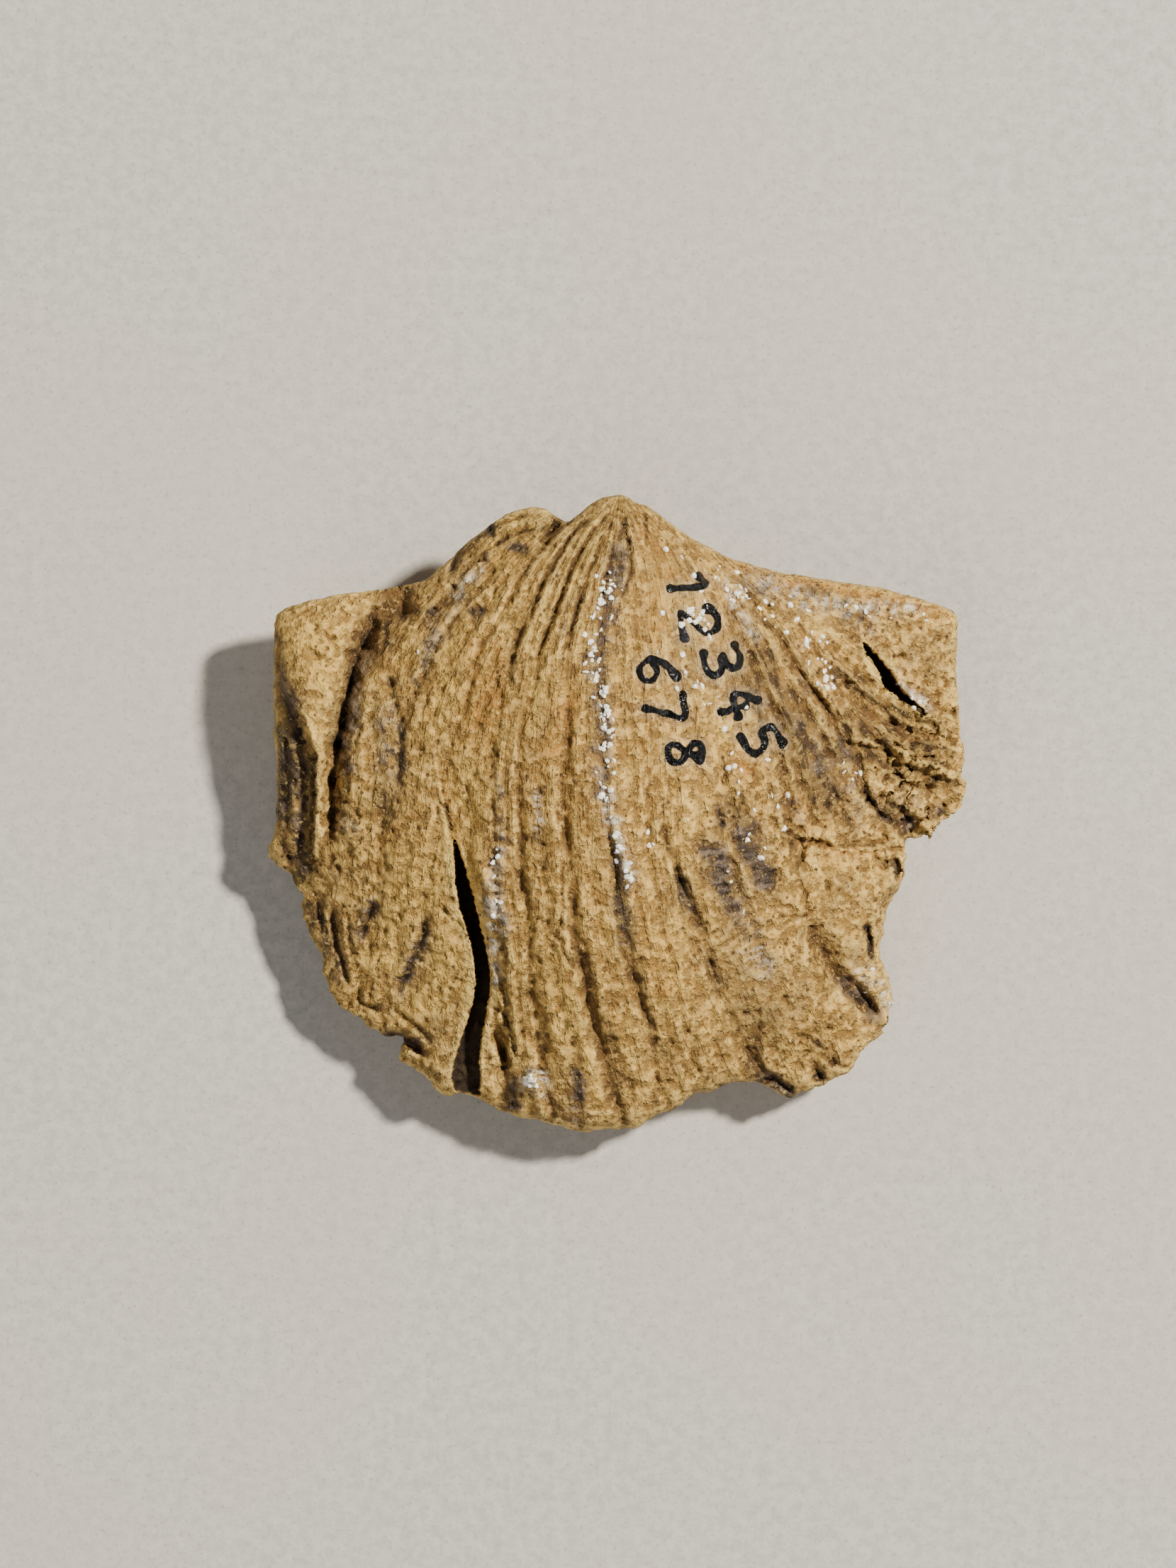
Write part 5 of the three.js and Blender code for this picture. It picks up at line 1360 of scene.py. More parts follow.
# %% Rusty and drab ground
RUSTY = [
    (1.2, 0.6, [[8.6, 17.8], [12.0, 16.7], [16.0, 16.0], [20.0, 15.5], [23.6, 14.3]]),
    (0.8, 0.3, [[12.0, 13.6], [12.8, 12.4], [13.6, 11.2]]),
    (0.8, 0.25, [[13.6, -1.9], [15.0, -2.2], [16.4, -2.7], [18.4, -2.6]]),
    (0.6, 1.5, [[-9.0, 12.0], [-9.6, 6.0]]),
    (0.6, 1.2, [[-3.4, 9.0], [-4.6, 3.0]]),
    (0.6, 0.8, [[1.6, 20.6], [3.4, 17.6], [2.4, 13.0]]),
    (0.6, 1.0, [[8.8, 5.6], [9.4, 2.4]]),
    (0.6, 0.8, [[12.4, 1.6], [13.0, -2.0]]),
    (0.7, 0.4, [[-15.6, -0.6], [-17.2, -2.4]]),
    (0.6, 0.9, [[2.4, -8.0], [3.4, -13.0]]),
    (0.6, 0.7, [[17.6, 6.6], [21.0, 5.0]]),
    (0.5, 1.2, [[-6.2, 19.6], [-8.6, 17.6]]),
]
DRAB = [
    (0.6, 2.6, [[8.4, -11.6], [13.6, -12.4]]),
    (0.5, 1.6, [[17.0, -6.0], [17.6, -10.0]]),
    (0.8, 1.8, [[3.0, 19.0], [4.6, 14.0], [6.6, 9.0]]),
    (0.9, 2.2, [[9.6, 11.0], [12.6, 6.0], [14.6, 1.0]]),
    (0.8, 1.4, [[20.6, 12.6], [22.4, 9.6]]),
    (0.9, 2.0, [[8.6, -10.6], [11.0, -13.6]]),
    (0.7, 1.5, [[6.8, -3.0], [9.0, -8.0]]),
    (0.7, 1.6, [[14.0, 6.0], [16.6, 1.0]]),
    (0.7, 1.6, [[15.6, -4.0], [16.6, -9.0]]),
    (0.7, 1.4, [[-16.4, 8.0], [-16.0, 0.0]]),
    (0.7, 1.3, [[-12.4, -14.0], [-12.6, -17.6]]),
    (0.6, 1.3, [[-19.6, 0.0], [-19.4, -8.0]]),
    (0.6, 1.2, [[-5.0, 8.0], [-6.0, 4.0]]),
    (0.5, 1.2, [[-5.0, -18.0], [-2.0, -21.0]]),
]
print("strokes:", len(RUSTY + DRAB))

# %% [markdown]
# Parts of the shell have a slight gloss, as from an old coat of varnish, and tiny crystals glitter along
# some ribs. Their strokes say how glossy the stone is and how many crystals there are.

# %% Varnish and sparkle
VARNISH = [
    (1.0, 1.0, [[-0.5, 17.0], [-1.4, 12.5], [-1.6, 9.0], [-1.0, 6.0], [-1.0, 1.0], [0.4, -3.0],
                 [1.1, -4.6]]),
    (0.9, 1.6, [[4.6, 15.6], [6.0, 11.0], [9.4, 5.8]]),
    (0.8, 1.2, [[2.6, 10.6], [3.8, 4.6]]),
    (0.8, 1.6, [[8.0, 16.0], [12.0, 13.6], [15.0, 11.4]]),
    (0.7, 1.0, [[13.0, 12.0], [15.6, 8.6]]),
    (0.6, 1.0, [[17.6, 12.6], [21.6, 9.0]]),
    (0.6, 0.7, [[7.6, -3.0], [9.4, -6.4]]),
    (0.6, 0.7, [[9.0, -1.6], [10.6, -4.8]]),
    (0.5, 0.6, [[-16.6, 11.0], [-13.0, 11.4]]),
    (0.6, 0.8, [[16.0, 3.8], [17.0, 2.6]]),
    (0.6, 0.5, [[-8.3, -1.6], [-8.2, -7.0]]),
]
SPARKLE = [
    (6.0, 0.55, [[-0.6, 16.6], [-1.0, 14.2], [-1.9, 11.6], [-1.9, 9.8]]),
    (10.0, 0.42, [[-1.4, 9.6], [-0.9, 7.4], [-0.7, 5.4], [-0.9, 3.4], [-0.9, 1.6]]),
    (7.0, 0.28, [[-0.8, 0.8], [-0.1, -1.4], [0.6, -3.4], [1.1, -4.6]]),
    (4.0, 0.2, [[2.1, -1.0], [2.6, -2.4], [3.0, -3.6]]),
    (4.0, 0.25, [[4.8, -0.1], [5.5, -0.5]]),
    (6.0, 0.55, [[5.0, 14.4], [5.9, 13.3]]),
    (1.4, 1.0, [[6.6, 16.8], [9.0, 15.2], [12.0, 14.0], [15.0, 12.6]]),
    (2.5, 0.45, [[12.8, 12.4], [14.0, 10.9], [15.4, 9.0]]),
    (6.0, 0.4, [[16.0, 3.8], [16.8, 2.8]]),
    (3.0, 0.35, [[9.2, -1.2], [10.2, -3.2], [10.8, -4.4]]),
    (3.0, 0.3, [[7.6, -4.4], [9.0, -7.2]]),
    (2.5, 0.3, [[-16.4, 11.5], [-14.2, 11.7], [-13.2, 11.4]]),
    (3.0, 0.25, [[-8.2, -2.4], [-8.5, -5.4], [-8.2, -7.4]]),
    (22.0, 0.42, [[-6.0, -18.8], [-5.9, -18.8]]),
    (1.6, 0.5, [[20.0, 9.2], [21.6, 8.0]]),
    (1.5, 0.7, [[16.0, 15.0], [22.0, 13.8]]),
    (0.4, 1.6, [[3.0, 18.0], [5.0, 10.0], [9.0, 4.0], [12.0, -2.0]]),
    (1.2, 0.6, [[16.8, -11.0], [18.8, -12.6]]),
]
print("strokes:", len(VARNISH + SPARKLE))

# %% [markdown]
# Now all of it goes onto the mesh as named attributes, which a material and Geometry Nodes can both read.
# Painted shade lies in grooves and on the rim band, and darker painted shade at the bottom of narrow grooves.
# The place along the fan is stored too, so that the stone's bands can follow the growth of the shell.

# %% Store the values on the mesh
BRUSH_FADE, BRUSH_WANDER, EATEN = 0.05, 0.35, 1.6
FIRST_BRUSH_SEED = 81
# Painted shade on the rim band between the valves.
RIM_SHADE = 0.4
# Strength, width and unevenness of the painted shade in narrow grooves.
NARROW, NARROW_SHADE_STRENGTH, NARROW_SHADE_WIDTH, NARROW_SHADE_UNEVENNESS = 0.3, 2.1, 0.6, 0.9


def paint(strokes, size, seed, raggedness):
    """A value along the strokes, from 0 up, with its edges eaten away by noise. It is for the top only."""
    x, y = top_xy.T
    value = np.zeros(len(rough))
    soft = stroke_field(x, y, strokes, fade=BRUSH_FADE, wander=BRUSH_WANDER)
    eaten = soft * (1.0 + raggedness * EATEN * layered_noise(x, y, 0.0, size, 3, seed))
    value[:bottom_start] = np.clip(eaten, 0.0, None)
    return value


def store(name, values):
    """Keeps one number or one vector for each point of the mesh."""
    kind = "FLOAT_VECTOR" if values.ndim == 2 else "FLOAT"
    layer = mesh.attributes.new(name, kind, "POINT")
    layer.data.foreach_set("vector" if values.ndim == 2 else "value", values.astype(np.float32).ravel())


# Painted shade in the grooves of both valves, and a little on the rim band between them.
groove_shade = np.zeros(len(rough))
groove_shade[:bottom_start] = top_groove
groove_shade[bottom_start:rim_start] = bottom_groove
groove_shade[rim_start:] = RIM_SHADE
store("groove_shade", np.clip(groove_shade, 0.0, MOST_GROOVE_SHADE))
store("hollow", np.clip(hollow, -MOST_HOLLOW, MOST_HOLLOW))
store("loose", np.clip(flaky, 0.0, 1.0))

# Painted shade at the bottom of narrow grooves, as a dark line.
narrow_grooves = [groove for groove in GROOVES if groove[0] > 0 and groove[1] <= NARROW]
seams = [(min(1.0, NARROW_SHADE_STRENGTH * depth), NARROW_SHADE_WIDTH * width, line) for depth, width, line in narrow_grooves]
narrow_groove_shade = np.zeros(len(rough))
narrow_groove_shade[:bottom_start] = stroke_field(*top_xy.T, seams, uneven=NARROW_SHADE_UNEVENNESS)
store("narrow_groove_shade", np.clip(narrow_groove_shade, 0.0, 1.0))

for name, strokes, size, raggedness in [
    ("worn", WORN, 1.0, 0.7), ("films_and_shade", FILMS_AND_SHADE, 0.7, 0.3), ("fresh_and_lit", FRESH_AND_LIT, 1.6, 0.8),
    ("pale", PALE, 0.6, 0.7), ("stains_and_shade", STAINS_AND_SHADE, 1.2, 0.6), ("rusty", RUSTY, 1.5, 0.8),
    ("drab", DRAB, 1.8, 0.7), ("varnish", VARNISH, 2.0, 0.8), ("sparkle", SPARKLE, 1.0, 0.8),
]:
    painted = paint(strokes, size, FIRST_BRUSH_SEED + len(strokes), raggedness)
    store(name, painted if name == "sparkle" else np.clip(painted, 0.0, 1.0))
store("ink", np.clip(ink_here, -1.0, 1.0))
store("break_depth", np.concatenate([top_break, np.zeros(len(rough) - bottom_start)]))

number, distance = rib_number(*(rough[:, :2] / MM).T)
store("fan", np.column_stack([number, distance, np.zeros(len(rough))]))
print("values stored:", [layer.name for layer in mesh.attributes if not layer.is_internal])

# %% [markdown]
# Materials are built from nodes. A small class keeps that short: each of its methods adds one node and gives
# back the socket to use next. Object coordinates are in metres, so they are first turned to millimetres, and
# every noise can then be given the real scale of the rock.

# %% Node helpers
MAP_RANGE_INPUTS = ("From Min", "From Max", "To Min", "To Max")
MIX_FIRST, MIX_SECOND, MIX_RESULT = 6, 7, 2


class Nodes:
    """A short hand for building one material's tree."""

    def __init__(self, name):
        self.material = bpy.data.materials.new(name)
        self.material.use_nodes = True
        self.tree = self.material.node_tree
        self.shader = self.tree.nodes["Principled BSDF"]
        coordinates = self.tree.nodes.new("ShaderNodeTexCoord")
        scale = self.tree.nodes.new("ShaderNodeVectorMath")
        scale.operation = "SCALE"
        scale.inputs["Scale"].default_value = 1.0 / MM
        self.link(coordinates.outputs["Object"], scale.inputs[0])
        self.millimetres = scale.outputs[0]

    def link(self, source, target):
        """Joins two sockets."""
        self.tree.links.new(source, target)

    def set(self, socket, value):
        """Gives a socket a fixed value or joins it to another."""
        if isinstance(value, bpy.types.NodeSocket):
            self.link(value, socket)
        else:
            socket.default_value = value

    def noise(self, scale, detail=4.0, roughness=0.55, place=None, stretch=None):
        """Noise from 0 to 1, with so many lumps to a millimetre."""
        node = self.tree.nodes.new("ShaderNodeTexNoise")
        node.inputs["Scale"].default_value = scale
        node.inputs["Detail"].default_value = detail
        node.inputs["Roughness"].default_value = roughness
        place = place or self.millimetres
        if stretch:
            mapping = self.tree.nodes.new("ShaderNodeMapping")
            mapping.inputs["Scale"].default_value = stretch
            self.link(place, mapping.inputs["Vector"])
            place = mapping.outputs["Vector"]
        self.link(place, node.inputs["Vector"])
        return node.outputs["Fac"]

    def cells(self, scale):
        """Distance to the nearest of many scattered points."""
        node = self.tree.nodes.new("ShaderNodeTexVoronoi")
        node.inputs["Scale"].default_value = scale
        self.link(self.millimetres, node.inputs["Vector"])
        return node.outputs["Distance"]

    def value(self, name, output="Fac"):
        """A value that was stored on the mesh."""
        node = self.tree.nodes.new("ShaderNodeAttribute")
        node.attribute_name = name
        return node.outputs[output]

    def maths(self, operation, first, second=0.0, clamp=False):
        """A sum or product of two values."""
        node = self.tree.nodes.new("ShaderNodeMath")
        node.operation = operation
        node.use_clamp = clamp
        self.set(node.inputs[0], first)
        self.set(node.inputs[1], second)
        return node.outputs[0]

    def spread(self, value, low, high, to_low=0.0, to_high=1.0):
        """One range of a value turned softly into another."""
        node = self.tree.nodes.new("ShaderNodeMapRange")
        node.interpolation_type = "SMOOTHSTEP"
        self.set(node.inputs["Value"], value)
        for name, number in zip(MAP_RANGE_INPUTS, (low, high, to_low, to_high)):
            node.inputs[name].default_value = number
        return node.outputs["Result"]

    def mix(self, share, first, second):
        """The first colour, covered by a share of the second."""
        node = self.tree.nodes.new("ShaderNodeMix")
        node.data_type = "RGBA"
        self.set(node.inputs["Factor"], share)
        self.set(node.inputs[MIX_FIRST], first)
        self.set(node.inputs[MIX_SECOND], second)
        return node.outputs[MIX_RESULT]

    def bump(self, height, distance, strength=1.0, below=None):
        """A bump of a real height in metres, on top of another one."""
        node = self.tree.nodes.new("ShaderNodeBump")
        node.inputs["Distance"].default_value = distance
        node.inputs["Strength"].default_value = strength
        self.set(node.inputs["Height"], height)
        if below:
            self.link(below, node.inputs["Normal"])
        return node.outputs["Normal"]


SCREEN_WHITE = 255.0
SCREEN_TOE, TOE_SLOPE, SCREEN_LIFT, SCREEN_GAMMA = 0.04045, 12.92, 0.055, 2.4


def linear(channel):
    """One screen channel, from 0 to 255, as the linear value that a shader takes."""
    level = channel / SCREEN_WHITE
    if level <= SCREEN_TOE:
        return level / TOE_SLOPE
    return ((level + SCREEN_LIFT) / (1.0 + SCREEN_LIFT)) ** SCREEN_GAMMA


def colour(red, green, blue):
    """An opaque colour, given as it shows on a screen."""
    return linear(red), linear(green), linear(blue), 1.0


print("a warm tan, as a shader takes it:", np.round(colour(190, 148, 72), 2))

# %% [markdown]
# The stone's finish is one material. It starts from noises at several sizes: broad clouds, mottles about a
# millimetre wide, grains, and bands and streaks that follow the fan of ribs, because growth laid the stone
# down in that way. A high threshold with a short slope makes patches, and a long slope makes soft clouds.

# %% The stone's noises
stone = Nodes("fossil_stone")
stone.shader.inputs["Specular IOR Level"].default_value = 0.3
fan = stone.value("fan", "Vector")
broad = stone.noise(0.16, detail=3.0)
cloudy = stone.noise(0.55, detail=4.0, roughness=0.6)
mottled = stone.noise(1.3, detail=4.0, roughness=0.6)
grainy = stone.noise(3.0, detail=2.0, roughness=0.6)
bands = stone.noise(1.0, detail=3.0, roughness=0.6, place=fan, stretch=(1.3, 0.16, 1.0))
streaky = stone.noise(1.0, detail=4.0, roughness=0.6, place=fan, stretch=(3.0, 0.44, 1.0))
wrinkled = stone.noise(1.0, detail=3.0, roughness=0.6, place=fan, stretch=(1.2, 2.0, 1.0))
hollow_here = stone.value("hollow")
loose_here = stone.value("loose")
firm_here = stone.maths("SUBTRACT", 1.15, loose_here, clamp=True)


def both(first, second, clamp=False):
    """The product of two values: it is high only where both are."""
    return stone.maths("MULTIPLY", first, second, clamp=clamp)


def breaking(name, noise_value, low, high, least=0.2):
    """A value on the mesh, thinned out where a noise is low."""
    return both(stone.value(name), stone.spread(noise_value, low, high, least, 1.0), clamp=True)


print("nodes for the stone's noises:", len(stone.tree.nodes))

# %% [markdown]
# The ground is tan limestone. Colour is laid on in thin coats, as a painter would, each through a mask:
# darker bands and streaks, brown and light mottles, and the hollowness found above, which lightens crests
# as painted light and darkens hollows as painted shade. Colours are darker and fuller than they look, because
# the view lifts and greys them.

# %% Tan limestone
tint = stone.mix(stone.spread(broad, 0.4, 0.6), colour(168, 126, 58), colour(190, 148, 72))
GROUND_COATS = [
    (stone.spread(cloudy, 0.5, 0.6, 0.0, 0.6), colour(214, 174, 92)),
    (both(stone.spread(bands, 0.36, 0.5, 0.75, 0.0), firm_here), colour(126, 92, 46)),
    (both(stone.spread(streaky, 0.38, 0.47, 0.6, 0.0), firm_here), colour(118, 84, 40)),
    (stone.spread(cloudy, 0.37, 0.46, 0.6, 0.0), colour(132, 102, 58)),
    (stone.spread(mottled, 0.37, 0.48, 0.5, 0.0), colour(124, 90, 45)),
    (stone.spread(mottled, 0.51, 0.62, 0.0, 0.5), colour(224, 186, 106)),
    (both(stone.spread(mottled, 0.44, 0.51, 0.75, 0.0), loose_here), colour(122, 90, 42)),
    (stone.spread(wrinkled, 0.57, 0.64, 0.0, 0.25), colour(226, 190, 112)),
    # Fresh patches, and painted light on plates that face the light.
    (both(breaking("fresh_and_lit", mottled, 0.38, 0.52), 0.7), colour(222, 180, 90)),
    (both(breaking("drab", mottled, 0.42, 0.56), 0.6), colour(132, 110, 70)),
    (both(breaking("rusty", mottled, 0.35, 0.6), 0.8), colour(172, 116, 44)),
    # Painted light on crests, then painted shade in hollows.
    (stone.spread(hollow_here, -0.15, -1.1, 0.0, 0.5), colour(236, 202, 118)),
    (stone.spread(hollow_here, 0.15, 1.1, 0.0, 0.6), colour(88, 60, 28)),
]
for mask, coat in GROUND_COATS:
    tint = stone.mix(mask, tint, coat)
print("coats of ground colour:", len(GROUND_COATS))

# %% [markdown]
# Over the ground come the marks of a long life, and painted shade: lilac-grey where ribs are worn through,
# brown stains with painted shade beside the wing, on the left wall and along folds, painted shade in the
# grooves, grey-brown films with painted shade in pockets, pits and under the front lip, chalky spots, and
# darker painted shade at the bottom of narrow grooves. Last come pores and single dark and light grains, and
# near-black painted shade inside the crack and the slit.

# %% Wear, stains, painted shade and grains
lilac = stone.mix(stone.spread(mottled, 0.4, 0.6), colour(84, 66, 50), colour(150, 128, 100))
# The tone of the films and of their painted shade.
film_and_shade_tone = stone.mix(stone.spread(wrinkled, 0.44, 0.64), colour(52, 41, 34), colour(112, 94, 78))
# Painted shade in grooves and on the rim band.
groove_shade_mask = stone.spread(stone.value("groove_shade"), 0.12, 0.7, 0.0, 0.65)
often = stone.maths("ADD", stone.spread(mottled, 0.49, 0.54), loose_here, clamp=True)
MARKS = [
    (breaking("worn", wrinkled, 0.38, 0.56, 0.15), lilac),
    # Stains, with painted shade beside the wing, on the left wall and along folds.
    (both(breaking("stains_and_shade", mottled, 0.38, 0.58, 0.3), 0.7), colour(72, 52, 30)),
    (both(stone.value("stains_and_shade"), stone.spread(streaky, 0.44, 0.5, 0.8, 0.0)), colour(56, 40, 24)),
    # Painted shade in the grooves.
    (both(groove_shade_mask, stone.spread(mottled, 0.3, 0.6, 1.0, 0.5)), colour(90, 62, 32)),
    # Films, with painted shade in pockets, pits, down the left wall and under the front lip.
    (breaking("films_and_shade", mottled, 0.34, 0.56, 0.55), film_and_shade_tone),
    (breaking("pale", wrinkled, 0.42, 0.56, 0.05), colour(226, 212, 186)),
    # Painted shade at the bottom of narrow grooves.
    (breaking("narrow_groove_shade", mottled, 0.38, 0.54, 0.5), colour(42, 27, 14)),
    (both(stone.spread(stone.cells(1.2), 0.15, 0.21, 0.8, 0.0), often), colour(54, 34, 17)),
    (stone.spread(grainy, 0.35, 0.39, 0.5, 0.0), colour(86, 62, 32)),
    (stone.spread(grainy, 0.6, 0.64, 0.0, 0.35), colour(228, 192, 112)),
    # Near-black painted shade inside the crack and the slit.
    (stone.spread(stone.value("break_depth"), 0.2, 1.0, 0.0, 0.95), colour(26, 17, 11)),
]
for mask, coat in MARKS:
    tint = stone.mix(mask, tint, coat)
print("coats of wear and grain:", len(MARKS))

# %% [markdown]
# The ink is a sharp threshold on the distance to the pen strokes, with a pale breath of varnish round it.
# Ink and varnish only lower the roughness. A bump from the same noises gives grain that is finer than the
# mesh.

# %% Ink, gloss and grain
VARNISH_GLOSS, LEAST_ROUGHNESS = 0.4, 0.16
FINE_BUMP, MOTTLE_BUMP, STREAK_BUMP = 0.00008, 0.00013, 0.0001
ink_reach = stone.value("ink")
halo = stone.spread(ink_reach, 0.1, 0.6, 0.14, 0.0)
ink = stone.spread(ink_reach, -0.03, 0.03, 1.0, 0.0)
tint = stone.mix(halo, tint, colour(222, 200, 160))
tint = stone.mix(ink, tint, colour(5, 5, 6))
stone.link(tint, stone.shader.inputs["Base Color"])

varnish = stone.maths("MAXIMUM", breaking("varnish", grainy, 0.35, 0.6, 0.4), both(halo, 4.0))
rough_stone = stone.spread(mottled, 0.3, 0.7, 0.95, 0.78)
varnished = stone.maths("SUBTRACT", rough_stone, both(varnish, VARNISH_GLOSS))
inked = stone.maths("SUBTRACT", varnished, ink, clamp=True)
stone.link(stone.maths("MAXIMUM", inked, LEAST_ROUGHNESS), stone.shader.inputs["Roughness"])

fine = stone.bump(grainy, FINE_BUMP)
coarse = stone.bump(stone.spread(mottled, 0.38, 0.56), MOTTLE_BUMP, below=fine)
ridged = stone.bump(stone.spread(streaky, 0.36, 0.54), STREAK_BUMP, below=coarse)
stone.link(ridged, stone.shader.inputs["Normal"])
mesh.materials.append(stone.material)
print("stone nodes:", len(stone.tree.nodes))

# %% [markdown]
# The shell glitters where tiny calcite crystals catch the light, and here those crystals are painted a warm
# near white, as painted glints. The crystals are scattered by Geometry
# Nodes, because they follow the surface: a density painted on the mesh says how many there are, each gets
# its own turn and size, and the tree ends by making them real so that they can be kept as a plain mesh.

# %% A tree that scatters crystals
SCATTER_SEED, TURN_SEED, SIZE_SEED = 5, 8, 9
SMALLEST_CRYSTAL, LARGEST_CRYSTAL = (0.25, 0.25, 0.25), (1.3, 1.1, 1.0)
CALCITE_IOR = 1.6


def scatter_tree(material):
    """The tree, and the identifiers of its two sizes."""
    tree = bpy.data.node_groups.new("calcite_scatter", "GeometryNodeTree")
    tree.interface.new_socket("Shell", in_out="INPUT", socket_type="NodeSocketGeometry")
    size_socket, share_socket = (
        tree.interface.new_socket(name, in_out="INPUT", socket_type="NodeSocketFloat")
        for name in ("Crystal size", "Crystals per density")
    )
    tree.interface.new_socket("Crystals", in_out="OUTPUT", socket_type="NodeSocketGeometry")
    nodes, links = tree.nodes, tree.links
    entry, leave = nodes.new("NodeGroupInput"), nodes.new("NodeGroupOutput")

    density = nodes.new("GeometryNodeInputNamedAttribute")
    density.data_type = "FLOAT"
    density.inputs["Name"].default_value = "sparkle"
    amount = nodes.new("ShaderNodeMath")
    amount.operation = "MULTIPLY"
    links.new(density.outputs["Attribute"], amount.inputs[0])
    links.new(entry.outputs["Crystals per density"], amount.inputs[1])

    scatter = nodes.new("GeometryNodeDistributePointsOnFaces")
    scatter.inputs["Seed"].default_value = SCATTER_SEED
    links.new(entry.outputs["Shell"], scatter.inputs["Mesh"])
    links.new(amount.outputs[0], scatter.inputs["Density"])

    crystal = nodes.new("GeometryNodeMeshIcoSphere")
    crystal.inputs["Subdivisions"].default_value = 1
    links.new(entry.outputs["Crystal size"], crystal.inputs["Radius"])

    turn = nodes.new("FunctionNodeRandomValue")
    turn.data_type = "FLOAT_VECTOR"
    turn.inputs["Max"].default_value = (2.0 * math.pi,) * 3
    turn.inputs["Seed"].default_value = TURN_SEED
    size = nodes.new("FunctionNodeRandomValue")
    size.data_type = "FLOAT_VECTOR"
    size.inputs["Min"].default_value = SMALLEST_CRYSTAL
    size.inputs["Max"].default_value = LARGEST_CRYSTAL
    size.inputs["Seed"].default_value = SIZE_SEED

    place = nodes.new("GeometryNodeInstanceOnPoints")
    links.new(scatter.outputs["Points"], place.inputs["Points"])
    links.new(crystal.outputs["Mesh"], place.inputs["Instance"])
    links.new(turn.outputs["Value"], place.inputs["Rotation"])
    links.new(size.outputs["Value"], place.inputs["Scale"])
    real = nodes.new("GeometryNodeRealizeInstances")
    finish = nodes.new("GeometryNodeSetMaterial")
    finish.inputs["Material"].default_value = material
    links.new(place.outputs["Instances"], real.inputs["Geometry"])
    links.new(real.outputs["Geometry"], finish.inputs["Geometry"])
    links.new(finish.outputs["Geometry"], leave.inputs["Crystals"])
    return tree, size_socket.identifier, share_socket.identifier


def make_glint_calcite():
    """Calcite painted a warm near white, as painted glints."""
    calcite = Nodes("glint_calcite")
    speckle = calcite.noise(3.0, detail=2.0)
    # Painted glint: the crystals are a warm near white, with a little speckle.
    tint = calcite.mix(calcite.spread(speckle, 0.4, 0.6), colour(252, 246, 228), colour(255, 252, 242))
    calcite.link(tint, calcite.shader.inputs["Base Color"])
    calcite.link(calcite.spread(speckle, 0.35, 0.65, 0.25, 0.5), calcite.shader.inputs["Roughness"])
    calcite.shader.inputs["IOR"].default_value = CALCITE_IOR
    return calcite.material


tree, size_id, share_id = scatter_tree(make_glint_calcite())
print("nodes in the scattering tree:", len(tree.nodes))

# %% [markdown]
# A spare object carries the mesh and the tree for a moment. What its modifier makes is copied as a plain
# mesh, the modifier and the spare object go, and the crystals are kept inside the imported model's box.

# %% Calcite crystals, painted as glints
CRYSTAL_RADIUS = 0.26 * MM
CRYSTALS_PER_DENSITY = 0.75 / MM ** 2
CORNERS_OF_A_CRYSTAL = 12


def plain_copy_of(carrier, name):
    """What an object's modifiers make of it, as a mesh of its own."""
    depsgraph = bpy.context.evaluated_depsgraph_get()
    result = bpy.data.meshes.new_from_object(carrier.evaluated_get(depsgraph))
    result.name = name
    return result


carrier = bpy.data.objects.new("calcite_carrier", mesh)
bpy.context.scene.collection.objects.link(carrier)
modifier = carrier.modifiers.new("scatter", "NODES")
modifier.node_group = tree
modifier[size_id] = CRYSTAL_RADIUS
modifier[share_id] = CRYSTALS_PER_DENSITY
crystal_mesh = plain_copy_of(carrier, "glint_calcite_crystals")
carrier.modifiers.remove(modifier)
bpy.data.objects.remove(carrier)

crystal_places = np.zeros(len(crystal_mesh.vertices) * 3)
crystal_mesh.vertices.foreach_get("co", crystal_places)
crystal_places = np.clip(crystal_places.reshape(-1, 3), CAD_LOW, CAD_HIGH)
crystal_mesh.vertices.foreach_set("co", crystal_places.ravel())
crystals = bpy.data.objects.new("glint_calcite_crystals", crystal_mesh)
bpy.context.scene.collection.objects.link(crystals)
count = len(crystal_mesh.vertices) // CORNERS_OF_A_CRYSTAL
print("crystals:", count, "with", len(crystal_mesh.polygons), "faces")

# %% [markdown]
# The table is plain pale paper, with a faint tooth so that it doesn't look like plastic. It doesn't belong
# to the shell, so it is marked as stage.

# %% Pale paper
PAPER_HALF_SIZE = 0.6
PAPER_ROUGHNESS = 0.9
PAPER_TOOTH = 0.0001


def make_paper():
    """Matt paper with pale fibres."""
    paper = Nodes("pale_paper")
    fibre = paper.noise(1.1, detail=5.0, roughness=0.7)
    speck = paper.noise(3.0, detail=3.0, roughness=0.7)
    cloud = paper.noise(0.03, detail=2.0)
    tint = paper.mix(paper.spread(fibre, 0.35, 0.65), colour(178, 174, 164), colour(196, 191, 180))
    tint = paper.mix(paper.spread(cloud, 0.35, 0.65, 0.0, 0.5), tint, colour(194, 184, 170))
    tint = paper.mix(paper.spread(speck, 0.32, 0.45, 0.45, 0.0), tint, colour(140, 134, 124))
    paper.link(tint, paper.shader.inputs["Base Color"])
    paper.shader.inputs["Roughness"].default_value = PAPER_ROUGHNESS
    paper.link(paper.bump(fibre, PAPER_TOOTH, 0.5), paper.shader.inputs["Normal"])
    return paper.material


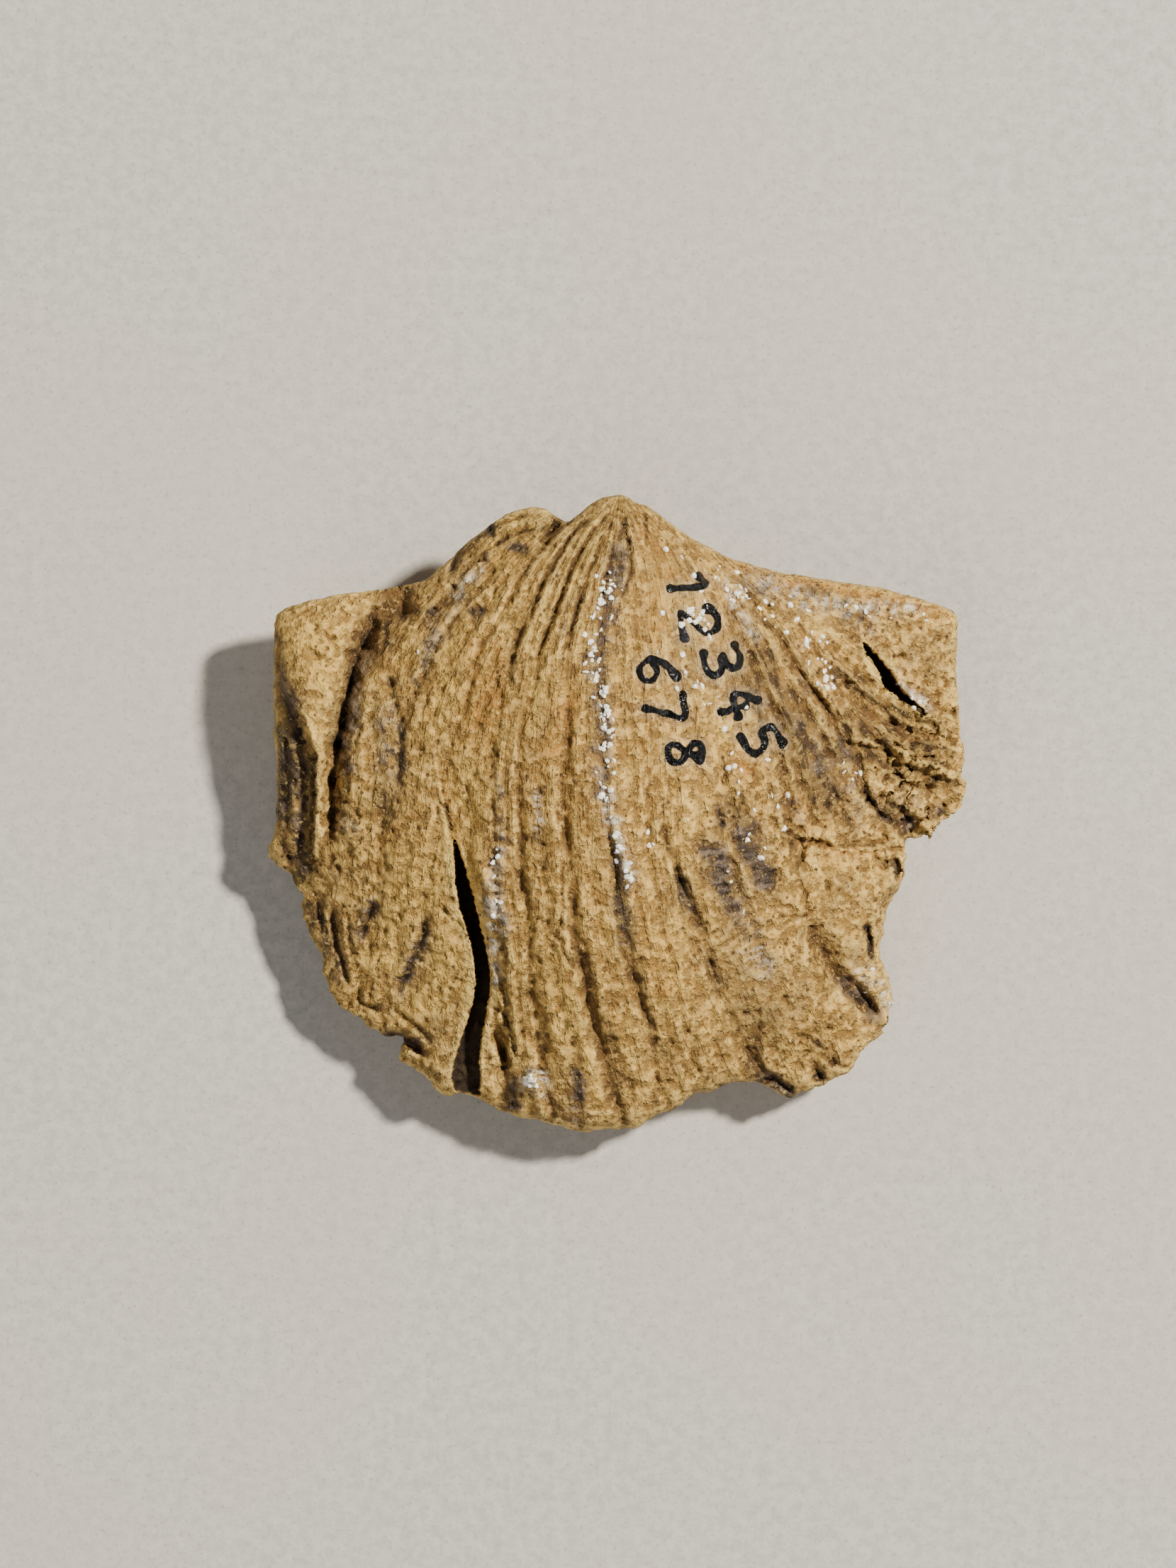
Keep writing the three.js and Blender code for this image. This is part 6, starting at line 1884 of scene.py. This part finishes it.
paper_mesh = bpy.data.meshes.new("paper")
corners = [(-1, -1), (1, -1), (1, 1), (-1, 1)]
paper_points = [(x * PAPER_HALF_SIZE, y * PAPER_HALF_SIZE, 0.0) for x, y in corners]
paper_mesh.from_pydata(paper_points, [], [range(len(corners))])
paper_mesh.materials.append(make_paper())
paper = bpy.data.objects.new("paper", paper_mesh)
bpy.context.scene.collection.objects.link(paper)
paper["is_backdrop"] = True
print("paper, mm:", round(2.0 * PAPER_HALF_SIZE / MM))

# %% [markdown]
# The light is a soft studio light from the upper right, where the photograph has its sun, with a wide dim
# light from the other side and an even pale sky. The first is warm and small enough to draw the ribs, and
# the others keep the shadows from going black.

# %% Light
STUDIO_DISTANCE = 0.9
SKY_COLOUR, SKY_STRENGTH = (0.94, 0.95, 1.0, 1.0), 0.18


def add_light(name, azimuth, elevation, distance, size, power, tint):
    """A square soft light that looks at the shell. Azimuth is anticlockwise from +X, in degrees."""
    data = bpy.data.lights.new(name, "AREA")
    data.size = size
    data.energy = power
    data.color = tint
    light = bpy.data.objects.new(name, data)
    turn, rise = math.radians(azimuth), math.radians(elevation)
    light.location = (
        distance * math.cos(rise) * math.cos(turn),
        distance * math.cos(rise) * math.sin(turn),
        distance * math.sin(rise),
    )
    light.rotation_euler = (math.radians(90.0 - elevation), 0.0, math.radians(azimuth + 90.0))
    bpy.context.scene.collection.objects.link(light)
    print(name, "in watts:", power)


add_light("key_light", 30.0, 54.0, STUDIO_DISTANCE, size=0.07, power=17.0, tint=(1.0, 0.96, 0.88))
add_light("fill_light", 235.0, 52.0, STUDIO_DISTANCE, size=0.7, power=2.6, tint=(0.96, 0.98, 1.0))
world = bpy.data.worlds.new("studio")
world.use_nodes = True
sky = world.node_tree.nodes["Background"]
sky.inputs["Color"].default_value = SKY_COLOUR
sky.inputs["Strength"].default_value = SKY_STRENGTH
bpy.context.scene.world = world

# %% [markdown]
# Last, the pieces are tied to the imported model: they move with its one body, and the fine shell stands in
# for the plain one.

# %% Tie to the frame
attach(shell, "root")
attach(crystals, "root")
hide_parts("shell")
